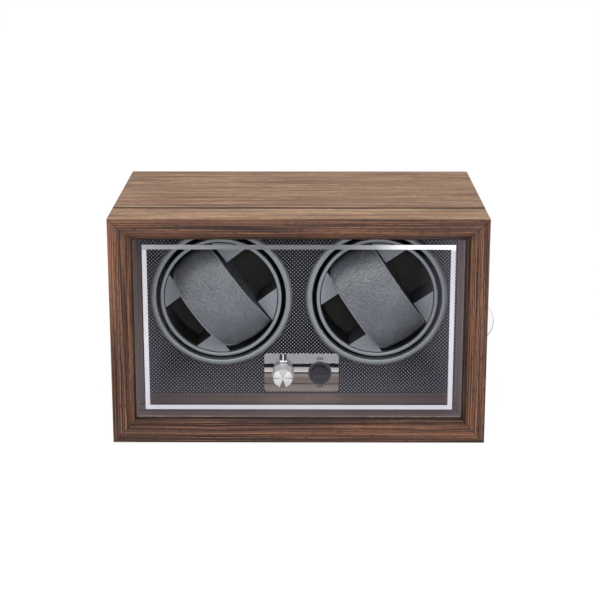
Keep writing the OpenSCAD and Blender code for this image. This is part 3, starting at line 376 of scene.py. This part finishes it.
def leather():
    """Pebbled grey leather: rounded grains about 1.6 mm apart with narrow creases."""
    mat, nodes, shader = material("pillow_leather", roughness=0.4, Specular_IOR_Level=0.8)
    place = nodes.vector(*nodes.object_mm())
    warp = nodes.add("ShaderNodeTexNoise", {"Vector": place, "Scale": 0.5}).outputs["Color"]
    bent = nodes.add("ShaderNodeVectorMath", {0: place, 1: warp}, operation="ADD").outputs[0]
    cells = nodes.add("ShaderNodeTexVoronoi", {"Vector": bent, "Scale": 0.62, "Smoothness": 0.5},
                      feature="SMOOTH_F1").outputs["Distance"]
    pebbles = nodes.span(cells, 0.1, 0.75, 1.0, 0.0)
    wrinkles = nodes.noise(place, 0.22, 4.0, 0.6)
    mottle = nodes.noise(place, 0.05, 3.0)
    tone = nodes.math("ADD", nodes.math("MULTIPLY", pebbles, 0.35),
                      nodes.math("MULTIPLY", mottle, 0.65))
    colour = nodes.ramp(tone, [(0.3, srgb(77, 81, 89)), (0.5, srgb(92, 96, 104)),
                               (0.72, srgb(108, 111, 119))])
    height = nodes.math("ADD", pebbles, nodes.math("MULTIPLY", wrinkles, 0.8))
    connect(nodes, shader, Base_Color=colour, Roughness=nodes.span(pebbles, 0, 1, 0.5, 0.26),
            Normal=nodes.bump(height, 0.2, 1.0))
    return mat


def piping():
    """The pillow's piped edge: lighter along its front, a painted highlight, and darker round its back,
    painted shade.
    """
    mat, nodes, shader = material("pillow_piping", roughness=0.45)
    place = nodes.object_mm()
    front, back = -40, -32
    # Painted highlight along the front of the seam, painted shade round its back
    tone = nodes.span(place[Y], front, back)
    grain = nodes.noise(nodes.vector(*place), 1.2, 2.0)
    colour = nodes.mix(tone, srgb(123, 127, 134), srgb(58, 60, 65))
    connect(nodes, shader, Base_Color=colour, Roughness=nodes.span(grain, 0.3, 0.7, 0.4, 0.5))
    return mat


def see_through(name, tint, sheen, roughness, hazed=False):
    """Thin clear sheet: light passes straight through, and the side that it meets first does the
    mirroring of both.

    A hazed sheet is coated against reflections, and mirrors more towards its ends, its right and its
    foot: a painted reflection, set by place on the sheet."""
    both_sides = 1.9
    mat = bpy.data.materials.new(name)
    mat.use_nodes = True
    mat.node_tree.nodes.clear()
    nodes = Nodes(mat.node_tree)
    place = nodes.object_mm()
    smear = nodes.noise(nodes.vector(*place), 0.02, 3.0)
    fresnel = nodes.add("ShaderNodeFresnel", {"IOR": 1.5}).outputs[0]
    outside = nodes.math("SUBTRACT", 1, nodes.add("ShaderNodeNewGeometry").outputs["Backfacing"])
    mirrored = nodes.math("MULTIPLY", nodes.math("MULTIPLY", fresnel, both_sides, clamp=True), outside)
    if hazed:
        # Painted reflection: where the sheet mirrors more, set by its place on the sheet
        near_ends = nodes.span(nodes.math("ABSOLUTE", place[X]), 95, 125)
        right_or_low = nodes.math("MAXIMUM", nodes.span(place[X], 0, 40),
                                  nodes.span(place[Z], 130, 50, 0.35))
        reflection_share = nodes.math("MAXIMUM", nodes.math("MULTIPLY", near_ends, right_or_low),
                          nodes.span(place[Z], 75, 45, 0.0, 0.62))
        coated = nodes.span(fresnel, 0.045, 0.3, 0.0, 0.6)
        gloss_colour = nodes.mix(reflection_share, coated, sheen)
    else:
        gloss_colour = (*sheen, 1)
    clear = nodes.add("ShaderNodeBsdfTransparent", {"Color": (*tint, 1)})
    smeared = nodes.span(smear, 0.3, 0.7, roughness, roughness * 2)
    gloss = nodes.add("ShaderNodeBsdfGlossy", {"Color": gloss_colour, "Roughness": smeared})
    mixed = nodes.add("ShaderNodeMixShader", {0: mirrored, 1: clear.outputs[0], 2: gloss.outputs[0]})
    nodes.add("ShaderNodeOutputMaterial", {"Surface": mixed.outputs[0]})
    return mat


def silver_print():
    """Bright silver border print with a painted reflection: whiter low down, duller along most of its
    top bar.
    """
    mat, nodes, shader = material("silver_print", roughness=0.3, metallic=0.85)
    place = nodes.object_mm()
    grain = nodes.noise(nodes.vector(*place), 0.8, 2.0)
    # Painted reflection: the silver's tone along its uprights and along its top bar
    upright_reflection = nodes.ramp(nodes.span(place[Z], BORDER_FOOT, BORDER_TOP), [
        (0.0, srgb(208, 208, 216)), (0.45, srgb(214, 214, 220)), (1.0, srgb(190, 190, 195))])
    bar = nodes.ramp(nodes.span(place[X], -BORDER_HALF_W, BORDER_HALF_W), [
        (0.0, srgb(158, 158, 161)), (0.33, srgb(112, 114, 118)), (0.62, srgb(112, 114, 118)),
        (0.74, srgb(155, 155, 160)), (0.84, srgb(252, 252, 255))])
    bar_foot = BORDER_TOP - 4
    colour = nodes.mix(nodes.span(place[Z], bar_foot - 0.5, bar_foot + 0.5), upright_reflection, bar)
    connect(nodes, shader, Base_Color=colour, Roughness=nodes.span(grain, 0.3, 0.7, 0.3, 0.42))
    return mat


def mirror_plate():
    """Polished plate with a painted reflection: darker over its upper half."""
    mat, nodes, shader = material("mirror_chrome", metallic=1.0)
    place = nodes.object_mm()
    # Painted reflection: the plate's colour darker above this height
    reflection_split, soft = 40, 3
    colour = nodes.ramp(nodes.span(place[Z], reflection_split - soft, reflection_split + soft), [
        (0.0, (0.82, 0.77, 0.74)), (1.0, (0.37, 0.365, 0.385))])
    haze = nodes.noise(nodes.vector(*place), 0.05, 3.0)
    connect(nodes, shader, Base_Color=colour, Roughness=nodes.span(haze, 0.3, 0.7, 0.015, 0.035))
    return mat


def cut_crystal():
    """Cut crystal with painted reflections: its front's sectors are painted bright or grey, and its
    side is painted with light streaks.
    """
    mat, nodes, shader = material("crystal", roughness=0.06, Coat_Weight=0.15)
    place = nodes.object_mm()
    x = nodes.math("SUBTRACT", place[X], KNOB_X)
    z = nodes.math("SUBTRACT", place[Z], CONTROL_Z)
    from_foot = nodes.math("ARCTAN2", nodes.math("ABSOLUTE", x), nodes.math("MULTIPLY", z, -1))
    # Painted reflection: each sector of the front painted bright or grey
    facet_reflections = nodes.ramp(nodes.math("DIVIDE", from_foot, math.pi), [
        (0.0, srgb(120, 120, 124)), (0.09, srgb(132, 132, 136)), (0.12, srgb(254, 254, 255)),
        (0.46, srgb(254, 254, 255)), (0.50, srgb(132, 132, 136)), (0.54, srgb(240, 240, 243)),
        (0.80, srgb(250, 250, 253)), (0.84, srgb(205, 205, 208))])
    turn = nodes.math("ARCTAN2", x, z)
    # Painted reflection: bright and grey streaks round the side
    glint_bands = nodes.noise(nodes.vector(turn, 0.0, 0.0), 5.0, 3.0, 0.7)
    side = nodes.ramp(glint_bands, [(0.38, srgb(178, 178, 174)), (0.48, srgb(252, 252, 253)),
                              (0.56, srgb(212, 211, 206)), (0.62, srgb(254, 254, 255))])
    on_front = nodes.span(place[Y], KNOB_FRONT + 0.5, KNOB_FRONT + 0.8, 1.0, 0.0)
    clouds = nodes.noise(nodes.vector(*place), 0.5, 2.0)
    connect(nodes, shader, Base_Color=nodes.mix(on_front, side, facet_reflections),
            Metallic=nodes.math("MULTIPLY", on_front, 0.35),
            Roughness=nodes.span(clouds, 0.3, 0.7, 0.18, 0.26))
    return mat


MATERIALS = {
    **WOOD,
    "carbon": carbon_film(),
    "leather": leather(),
    "piping": piping(),
    "ring": speckled("grey_trim", srgb(137, 143, 150), 0.3, 0.3, spread=0.02, grain=0.2, depth=0),
    "petal": speckled("petal_grey", srgb(129, 135, 143), 0.45, spread=0.03, grain=0.2, depth=0),
    # The petal blocks' sides: the petal grey darkened as painted shade inside the cup
    "petal_side_shaded": speckled("petal_grey_shaded", srgb(57, 58, 62), 0.6, spread=0.04, grain=0.2, depth=0),
    "cup": speckled("cup_black", srgb(43, 43, 41), 0.6, spread=0.05, grain=0.2, depth=0,
                    Specular_IOR_Level=0.2),
    "glass": see_through("glass", (0.985, 0.985, 0.985), (0.7, 0.66, 0.84), 0.02, hazed=True),
    "acrylic": see_through("clear_acrylic", (0.965, 0.965, 0.975), (0.9, 0.9, 0.9), 0.03),
    # The tab's edges: the clear sheet tinted grey, painted shade for the darker look of its edges
    "acrylic_edge_shaded": see_through("acrylic_edge_shaded", (0.55, 0.56, 0.58), (0.7, 0.7, 0.7), 0.1),
    "silver": silver_print(),
    "crystal": cut_crystal(),
    "chrome": mirror_plate(),
    "ink": speckled("ink", srgb(44, 44, 48), 0.7, spread=0.05, depth=0),
    "ink_white": speckled("ink_white", srgb(246, 246, 246), 0.6, spread=0.02, depth=0),
    "switch": speckled("switch_black", srgb(40, 40, 44), 0.4, spread=0.08, grain=3, depth=0),
    "steel": speckled("steel", (0.55, 0.56, 0.58), 0.35, 1.0),
    "nickel": speckled("nickel", (0.62, 0.60, 0.56), 0.3, 1.0),
    "screw": speckled("screw_black", (0.05, 0.05, 0.055), 0.4, 0.6),
    "bronze": speckled("bronze", (0.52, 0.34, 0.14), 0.35, 1.0),
    "brass": speckled("brass", (0.68, 0.52, 0.22), 0.3, 1.0),
    "acetal": speckled("acetal", srgb(226, 222, 208), 0.45),
    "motor": speckled("motor_steel", (0.5, 0.51, 0.53), 0.3, 1.0),
    "pcb": speckled("pcb_green", srgb(28, 88, 52), 0.4, spread=0.15, grain=2.0),
    "nylon": speckled("nylon", srgb(224, 222, 212), 0.5),
    "wire": speckled("wire_red", srgb(150, 28, 26), 0.45),
    "selector": speckled("selector_grey", srgb(96, 98, 102), 0.45),
    "chassis": speckled("chassis_black", srgb(24, 24, 25), 0.6, spread=0.15, grain=0.8, depth=0.02),
    "back": speckled("back_board", srgb(46, 43, 42), 0.7, spread=0.15, grain=0.8, depth=0.06),
    "felt": speckled("felt", srgb(30, 30, 32), 0.95, spread=0.25, grain=2.5, depth=0.3,
                     Sheen_Weight=0.3),
}

CAD_MATERIALS = {
    "back_panel": "back", "back_screws": "screw", "base_felt": "felt", "display_panel": "carbon",
    "panel_cleats": "softwood", "selector_switch": "selector", "selector_spindle": "steel",
    "chassis_board": "chassis", "chassis_cleats": "softwood", "chassis_screws": "steel",
    "circuit_board": "pcb", "board_posts": "nylon", "wire_harness": "wire", "dc_jack": "switch",
    "hinge_case_leaves": "nickel", "hinge_door_leaves": "nickel", "hinge_pins": "nickel",
    "hinge_case_screws": "nickel", "hinge_door_screws": "nickel", "strike_discs": "steel",
    "door_magnets": "nickel", "switch_housing": "switch", "switch_rim": "switch", "rocker": "switch",
}
DRIVE_MATERIALS = {
    "cup": "cup", "cup_shaft": "steel", "shaft_bush": "bronze", "shaft_clip": "screw",
    "drive_gear": "acetal", "motor_pinion": "brass", "gearmotor": "motor",
}
for stem, key in DRIVE_MATERIALS.items():
    CAD_MATERIALS.update({stem + "_" + side: key for side in SIDES})
for node_name, key in CAD_MATERIALS.items():
    node = frame["nodes"][node_name]
    if not node.material_slots:
        node.data.materials.append(MATERIALS[key])
    for material_slot in node.material_slots:
        material_slot.material = MATERIALS[key]


# ---------- mesh helpers ----------

def evaluated_mesh(thing):
    """A mesh of what the object's modifiers or its curve make of it."""
    graph = bpy.context.evaluated_depsgraph_get()
    return bpy.data.meshes.new_from_object(thing.evaluated_get(graph))


def finish_mesh(name, mesh, body, keys, replaced=(), sharp=32, weighted=False):
    """Makes the mesh a piece: smooth but for its sharp edges, riding on its body."""
    for key in keys:
        mesh.materials.append(MATERIALS[key])
    mesh.polygons.foreach_set("use_smooth", [True] * len(mesh.polygons))
    mesh.set_sharp_from_angle(angle=math.radians(sharp))
    mesh.update()
    piece = linked(name, mesh)
    if weighted:
        # Flat faces keep their own normal, and only the bevels between them turn
        modifier = piece.modifiers.new("weighted", "WEIGHTED_NORMAL")
        modifier.keep_sharp = True
        modifier.weight = 100
        piece.data = evaluated_mesh(piece)
        piece.modifiers.clear()
    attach(piece, body)
    if replaced:
        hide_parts(*replaced)
    return piece


def mesh_from(name, verts_mm, faces):
    mesh = bpy.data.meshes.new(name)
    mesh.from_pydata([tuple(c * MM for c in v) for v in verts_mm], [], faces)
    mesh.validate()
    return mesh


def refined(node_name, body, keys, bevel_mm, choose=None, segments=2):
    """The CAD node's shape with softened edges. choose gives a face's material from its normal."""
    weld_m, flat_angle, edge_angle = 2e-6, math.radians(0.6), math.radians(28)
    mesh = frame["nodes"][node_name].data.copy()
    mesh.materials.clear()
    work = bmesh.new()
    work.from_mesh(mesh)
    bmesh.ops.remove_doubles(work, verts=work.verts, dist=weld_m)
    bmesh.ops.dissolve_limit(work, angle_limit=flat_angle, verts=work.verts, edges=work.edges)
    edges = [e for e in work.edges if len(e.link_faces) == 2 and e.calc_face_angle(0) > edge_angle]
    bmesh.ops.bevel(work, geom=edges, offset=bevel_mm * MM, segments=segments, profile=0.5,
                    affect="EDGES", clamp_overlap=True)
    bmesh.ops.triangulate(work, faces=[f for f in work.faces if len(f.verts) > 4])
    bmesh.ops.recalc_face_normals(work, faces=work.faces)
    if choose:
        for face in work.faces:
            face.material_index = choose(face.normal)
    work.to_mesh(mesh)
    work.free()
    finish_mesh(node_name + "_dressed", mesh, body, keys, (node_name,), sharp=50, weighted=True)


def lathe(node_name, centre, profile, body, key, steps=160):
    """Turns a closed profile of (radius, y) about an axis along Y, in place of a CAD node."""
    cx, cz = centre
    verts, faces = [], []
    count = len(profile)
    for i in range(steps):
        angle = 2 * math.pi * i / steps
        verts += [(cx + r * math.cos(angle), y, cz + r * math.sin(angle)) for r, y in profile]
    for i in range(steps):
        j = (i + 1) % steps
        for k in range(count):
            n = (k + 1) % count
            faces.append((i * count + k, i * count + n, j * count + n, j * count + k))
    name = node_name + "_dressed"
    finish_mesh(name, mesh_from(name, verts, faces), body, (key,), (node_name,))


def arc(cx, cy, r, start, end, steps):
    """Points (x, y) on an arc, the angles in degrees."""
    angles = [math.radians(start + (end - start) * i / steps) for i in range(steps + 1)]
    return [(cx + r * math.cos(angle), cy + r * math.sin(angle)) for angle in angles]


# ---------- case and door ----------

def board_face(outer):
    """Chooses a board's wood: 0 outside, 1 inside, 2 on the front and back edges, painted dark as
    painted shade in the gaps there.
    """
    def choose(normal):
        if abs(normal.y) > 0.2:
            return 2
        return 0 if normal.dot(Vector(outer)) > 0 else 1
    return choose


def rail_face(outer):
    """Chooses a door member's wood: 0 outside, 1 front and inside, 2 on the back, painted dark as
    painted shade in the gap at the case.
    """
    def choose(normal):
        if normal.y > 0.2:
            return 2
        return 0 if normal.dot(Vector(outer)) > 0.7 else 1
    return choose


WOOD_EDGE = 0.35        # how far the edges of the wood are eased, in millimetres
OUTWARD = {"top": (0, 0, 1), "bottom": (0, 0, -1), "left": (-1, 0, 0), "right": (1, 0, 0)}
for edge, outside, inside, slot in (("top", "top", "inside", "walnut_top"),
                                    ("bottom", "under", "inside", "walnut"),
                                    ("left", "side", "inside_wall", "walnut"),
                                    ("right", "side", "inside_wall", "walnut")):
    refined(edge + "_board", "case", (outside, inside, "edge"), WOOD_EDGE,
            board_face(OUTWARD[edge]))
for edge, member, outside in (("top", "rail", "door_top"), ("bottom", "rail", "under"),
                              ("left", "stile", "side"), ("right", "stile", "side")):
    refined("door_" + edge + "_" + member, "door", (outside, "front_" + edge, "edge"),
            WOOD_EDGE, rail_face(OUTWARD[edge]))


def border_frame():
    """The silver border as a flat mitred frame on the glass, dark on the side that meets the glass."""
    bar, thickness, above_cad = 3.7, 0.25, 0.3
    front = extent("glass_border", Y)[0]
    back = front + thickness
    loops = []
    for y in (front, back):
        for inset in (0, bar):
            x = BORDER_HALF_W - inset
            low, high = BORDER_FOOT + inset, BORDER_TOP + above_cad - inset
            loops.append([(-x, y, low), (x, y, low), (x, y, high), (-x, y, high)])
    verts = [v for loop in loops for v in loop]
    front_outer, front_inner, back_outer, back_inner = 0, 4, 8, 12
    faces = []
    for k in range(4):
        n = (k + 1) % 4
        for a, b in ((front_outer, front_inner), (front_inner, back_inner), (back_inner, back_outer),
                     (back_outer, front_outer)):
            faces.append((a + k, a + n, b + n, b + k))
    mesh = mesh_from("glass_border_dressed", verts, faces)
    for face in mesh.polygons:
        face.material_index = 1 if min(verts[v][Y] for v in face.vertices) == back else 0
    finish_mesh("glass_border_dressed", mesh, "door", ("silver", "ink"),
                ("glass_border",))


refined("glass_beads", "door", ("inside", "inside_wall"), 0.2,
        lambda normal: 0 if abs(normal.z) > 0.7 else 1)
refined("glass_pane", "door", ("glass",), 0.15)
border_frame()
# Its front and back are clear; its edges get the grey tint of painted shade
refined("pull_tab", "door", ("acrylic", "acrylic_edge_shaded"), 0.5,
        lambda normal: 0 if abs(normal.y) > 0.95 else 1, segments=3)


# ---------- rings and cups ----------

def bezel_profile():
    """The ring's section from the bore, over its crest, down to the panel and through the spigot."""
    bore, outer = 54, extent("bezel_ring_right", X)[1] - DRUM_X
    front = extent("bezel_ring_right", Y)[0]
    crest = bore + 0.45 * (outer - bore)
    lip, spigot, short = 0.9, 56.2, 0.2
    flank = [(crest + (outer - crest) * math.sin(angle),
              front + (PANEL_FRONT - front) * (1 - math.cos(angle)))
             for angle in map(math.radians, range(0, 91, 6))]
    return arc(bore + lip, front + lip, lip, 180, 270, 6) + flank + [
        (outer, PANEL_FRONT), (spigot, PANEL_FRONT), (spigot, PANEL_BACK - short),
        (bore, PANEL_BACK - short)]


def rim_profile():
    """The cup rim's section: a flat band with both of its front edges rounded."""
    outer, width, corner = extent("cup_rim_right", X)[1] - DRUM_X, 3, 0.7
    bore = outer - width
    back = extent("cup_rim_right", Y)[1]
    return (arc(bore + corner, CUP_FRONT + corner, corner, 180, 270, 5)
            + arc(outer - corner, CUP_FRONT + corner, corner, 270, 360, 5)
            + [(outer, back), (bore, back)])


for side, sign in SIDES.items():
    centre = (sign * DRUM_X, DRUM_Z)
    drum = side + "_drum"
    lathe("bezel_ring_" + side, centre, bezel_profile(), "case", "ring")
    lathe("cup_rim_" + side, centre, rim_profile(), drum, "ring")
    # The blocks' front faces get the petal grey, their sides the darker grey of painted shade
    refined("petal_blocks_" + side, drum, ("petal", "petal_side_shaded"), 0.4,
            lambda normal: 0 if normal.y < -0.3 else 1)


# ---------- controls ----------

def crystal_knob():
    """Ten-sided cut crystal: a star front in twenty facets, a bevelled crown and flat sides."""
    count = 10
    half_step = 0.5
    back = PLATE_FRONT - 1.5
    profile = [(9.1, back, half_step), (8.4, KNOB_FRONT + 0.8, half_step),
               (8.05, KNOB_FRONT + 0.4, half_step), (4.0, KNOB_FRONT + 0.1, 0)]
    verts = [(KNOB_X, back, CONTROL_Z), (KNOB_X, KNOB_FRONT, CONTROL_Z)]
    for r, y, phase in profile:
        for i in range(count):
            angle = 2 * math.pi * (i + phase) / count + math.pi / 2
            verts.append((KNOB_X + r * math.cos(angle), y, CONTROL_Z + r * math.sin(angle)))
    back_centre, front_centre = 0, 1
    base, shoulder, crown, star = (2 + count * k for k in range(4))
    faces = []
    for i in range(count):
        j = (i + 1) % count
        faces += [(back_centre, base + i, base + j),
                  (base + i, shoulder + i, shoulder + j, base + j),
                  (shoulder + i, crown + i, crown + j, shoulder + j),
                  (crown + i, star + j, crown + j), (crown + i, star + i, star + j),
                  (front_centre, star + j, star + i)]
    name = "selector_knob_dressed"
    mesh = mesh_from(name, verts, faces)
    work = bmesh.new()
    work.from_mesh(mesh)
    bmesh.ops.recalc_face_normals(work, faces=work.faces)
    work.to_mesh(mesh)
    work.free()
    finish_mesh(name, mesh, "knob", ("crystal",), ("selector_knob",), sharp=1)


def mark(name, words, z):
    """Small generic lettering that lies on the plate beside the switch."""
    size, boldness, thickness, lift = 3.5, 0.11, 0.02, 0.03
    curve = bpy.data.curves.new(name, "FONT")
    curve.body = words
    curve.size = size * MM
    curve.align_x = "CENTER"
    curve.align_y = "CENTER"
    curve.extrude = thickness * MM
    curve.offset = boldness * MM
    holder = linked(name + "_curve", curve)
    bpy.context.view_layer.update()
    mesh = evaluated_mesh(holder)
    bpy.data.objects.remove(holder)
    mesh.materials.clear()
    middle = Vector((SWITCH_X, PLATE_FRONT - lift, z)) * MM
    mesh.transform(Matrix.Translation(middle) @ Matrix.Rotation(math.pi / 2, 4, "X"))
    finish_mesh(name, mesh, "case", ("ink",))


def index_line():
    """The printed index above the knob: a white line on a dark pad."""
    low, high, thickness = CONTROL_Z + 10.6, CONTROL_Z + 16.4, 0.02
    for name, half, lift, key in (("index_pad", 3.0, 0.03, "ink"),
                                  ("index_line", 0.45, 0.05, "ink_white")):
        left, right = KNOB_X - half, KNOB_X + half
        corners = [(left, low), (right, low), (right, high), (left, high)]
        verts = [(x, PLATE_FRONT - lift + deep, z) for deep in (0, thickness) for x, z in corners]
        faces = [(0, 1, 2, 3), (7, 6, 5, 4)]
        faces += [(k, k + 4, (k + 1) % 4 + 4, (k + 1) % 4) for k in range(4)]
        finish_mesh(name, mesh_from(name, verts, faces), "case", (key,))


MARK_DROP = 12.2        # from the switch's middle to each mark
refined("control_plate", "case", ("chrome",), 0.18)
crystal_knob()
index_line()
mark("switch_mark_on", "ON", CONTROL_Z + MARK_DROP)
mark("switch_mark_off", "OFF", CONTROL_Z - MARK_DROP)


# ---------- pillows ----------

# The share of its width that a pillow loses at its ends, how far its middle sags sideways in
# millimetres, and the share of its left half that its lower corner loses
PILLOW_SHAPE = {"left": (0.1, 2.4, 0.3), "right": (0.03, 1.0, 0.15)}


def full_curve(angle, power=0.74):
    """Cosine and sine drawn out towards a fuller, squarer curve."""
    cos, sin = math.cos(angle), math.sin(angle)
    return math.copysign(abs(cos) ** power, cos), math.copysign(abs(sin) ** power, sin)


def pillow_outline(half_w, half_depth, half_len, taper, bow, rounding, around=72):
    """Points round the pillow as (y, z, left edge, right edge)."""
    flare, flare_from, flare_to = 1.6, 12, 20       # it is wider in front of the petal blocks
    corner_from = 0.7
    outline = []
    for i in range(around):
        cos, sin = full_curve(2 * math.pi * i / around)
        y, z = -half_depth * cos, half_len * sin
        along = abs(z / half_len)
        sag, corner_share = (1.5, 1.0) if z < 0 else (0.5, 0.2)
        in_front = min(1, max(0, (-y - flare_from) / (flare_to - flare_from)))
        width = (half_w + flare * in_front) * (1 - taper * along ** 3)
        middle = bow * (sag * along ** 2 - 0.6)
        corner = corner_share * max(0, (along - corner_from) / (1 - corner_from)) ** 2
        outline.append((y, z, middle - width * (1 - rounding * corner), middle + width))
    return outline


def pillow_mesh(name, outline, half_w, across=14):
    """A bolster along Z: a crowned band between two flat end faces. Gives the seams' vertices too."""
    around = len(outline)
    verts, faces, seams = [], [], []
    for i in range(across + 1):
        share = i / across
        crown = 0.14 * share * (1 - share)
        for y, z, low, high in outline:
            if i in (0, across):
                seams.append(len(verts))
            verts.append((low + (high - low) * share, y * (1 + crown if y < 0 else 1),
                          z * (1 + 1.8 * crown)))
    for i in range(across):
        for k in range(around):
            n = (k + 1) % around
            faces.append((i * around + k, (i + 1) * around + k, (i + 1) * around + n, i * around + n))
    for end in (0, across):
        ring = [end * around + k for k in range(around)]
        flat = half_w if end else -half_w
        for share in (0.82, 0.62, 0.42, 0.22):
            inner = [len(verts) + k for k in range(around)]
            for y, z, *edges in outline:
                x = edges[1 if end else 0]
                verts.append((flat + (x - flat) * share, y * share, z * share))
            for k in range(around):
                n = (k + 1) % around
                quad = (ring[k], ring[n], inner[n], inner[k])
                faces.append(quad[::-1] if end else quad)
            ring = inner
        faces.append(tuple(ring[::-1]) if end else tuple(ring))
    return mesh_from(name, verts, faces), seams


def inflate(piece, pinned, pressure, frames=20):
    """Lets cloth pressure crown the faces between the pinned seams, then keeps the result."""
    group = piece.vertex_groups.new(name="seams")
    group.add(pinned, 1.0, "REPLACE")
    cloth = piece.modifiers.new("cloth", "CLOTH")
    settings = cloth.settings
    settings.quality = 6
    settings.mass = 0.3
    settings.tension_stiffness = settings.compression_stiffness = 60
    settings.shear_stiffness = 30
    settings.bending_stiffness = 4
    settings.use_pressure = True
    settings.uniform_pressure_force = pressure
    settings.vertex_group_mass = "seams"
    settings.effector_weights.gravity = 0
    cloth.collision_settings.use_collision = False
    for step in range(1, frames + 1):
        scene.frame_set(step)
    result = evaluated_mesh(piece)
    piece.modifiers.clear()
    old = piece.data
    piece.data = result
    bpy.data.meshes.remove(old)
    scene.frame_set(1)


def subdivided(piece, creased):
    """The piece's mesh made finer, with the seams kept crisp."""
    smooth = piece.modifiers.new("smooth", "SUBSURF")
    smooth.levels = smooth.render_levels = 1
    crease = piece.data.attributes.new("crease_edge", "FLOAT", "EDGE")
    for edge in piece.data.edges:
        crease.data[edge.index].value = 0.75 if creased.issuperset(edge.vertices) else 0.0
    return evaluated_mesh(piece)


def seam_tube(points):
    """The piping along one seam."""
    curve = bpy.data.curves.new("seam", "CURVE")
    curve.dimensions = "3D"
    curve.bevel_depth = 0.55 * MM
    curve.bevel_resolution = 3
    spline = curve.splines.new("POLY")
    spline.points.add(len(points) - 1)
    spline.use_cyclic_u = True
    for spline_point, point in zip(spline.points, points):
        spline_point.co = (*[c * MM for c in point], 1)
    holder = linked("seam_curve", curve)
    tube = evaluated_mesh(holder)
    bpy.data.objects.remove(holder)
    tube.materials.clear()
    return tube


def make_pillow(side):
    name = "pillow_" + side
    front, back = extent(name, Y)
    crown_room, most_crown = 1.1, 1.4
    half_w, half_depth, half_len = 20.6, (back - front) / 2 - crown_room, 41.8
    outline = pillow_outline(half_w, half_depth, half_len, *PILLOW_SHAPE[side])
    mesh, seams = pillow_mesh(name + "_dressed", outline, half_w)
    flat = linked(name + "_flat", mesh)
    before = [v.co.copy() for v in mesh.vertices]
    inflate(flat, seams, pressure=5.0)
    for v, start in zip(flat.data.vertices, before):
        move = v.co - start
        if move.length > most_crown * MM:
            v.co = start + move * (most_crown * MM / move.length)
    full = subdivided(flat, set(seams))
    bpy.data.objects.remove(flat)
    middle = Vector((SIDES[side] * DRUM_X, (front + back) / 2, DRUM_Z)) * MM
    seat = Matrix.Translation(middle) @ Matrix.Rotation(math.radians(-CUP_TURN[side]), 4, "Y")
    full.transform(seat)
    body = side + "_pillow"
    piece = finish_mesh(name + "_dressed", full, body, ("leather",), (name,),
                        sharp=50)
    for end, seam_name in enumerate((name + "_seam_a", name + "_seam_b")):
        tube = seam_tube([(edges[end], y, z) for y, z, *edges in outline])
        tube.transform(seat)
        finish_mesh(seam_name, tube, body, ("piping",))


for side in SIDES:
    make_pillow(side)


# ---------- surroundings ----------

WHITE = (1, 1, 1, 1)


def make_floor():
    """A white floor that keeps the object's shadow."""
    half, drop = 9000, 0.2
    mesh = mesh_from("floor", [(-half, -half, 0), (half, -half, 0), (half, half, 0), (-half, half, 0)],
                     [(0, 1, 2, 3)])
    floor = linked("floor", mesh)
    floor.location.z = -drop * MM
    mat = bpy.data.materials.new("floor_white")
    mat.use_nodes = True
    mat.node_tree.nodes.clear()
    nodes = Nodes(mat.node_tree)
    seen = nodes.in_view()
    diffuse = nodes.add("ShaderNodeBsdfDiffuse", {"Color": nodes.span(seen, 0, 1, 0.85, 0.16)})
    glow = nodes.add("ShaderNodeEmission", {"Color": WHITE,
                                            "Strength": nodes.math("MULTIPLY", seen, 0.91)})
    both = nodes.add("ShaderNodeAddShader", {0: diffuse.outputs[0], 1: glow.outputs[0]})
    nodes.add("ShaderNodeOutputMaterial", {"Surface": both.outputs[0]})
    mesh.materials.append(mat)


def make_world():
    """White where it is seen or mirrored, and dimmer as a lamp."""
    world = bpy.data.worlds.new("studio")
    scene.world = world
    world.use_nodes = True
    world.node_tree.nodes.clear()
    nodes = Nodes(world.node_tree)
    strength = nodes.span(nodes.in_view(), 0, 1, 0.27, 1.0)
    back = nodes.add("ShaderNodeBackground", {"Color": WHITE, "Strength": strength})
    nodes.add("ShaderNodeOutputWorld", {"Surface": back.outputs[0]})


make_camera()
make_world()
make_floor()
make_sky("overhead", aim=(0.0, 0.4, -1), spread=75, strength=1.05)
for side, sign in SIDES.items():
    make_lamp("softbox_" + side, place=(sign * 1.3, -1.55, 0.85), size=(0.5, 0.5), power=11)
make_lamp("front_fill", place=(0.0, -2.1, 0.62), size=(0.9, 0.4), power=17)
scene.view_settings.view_transform = "Standard"
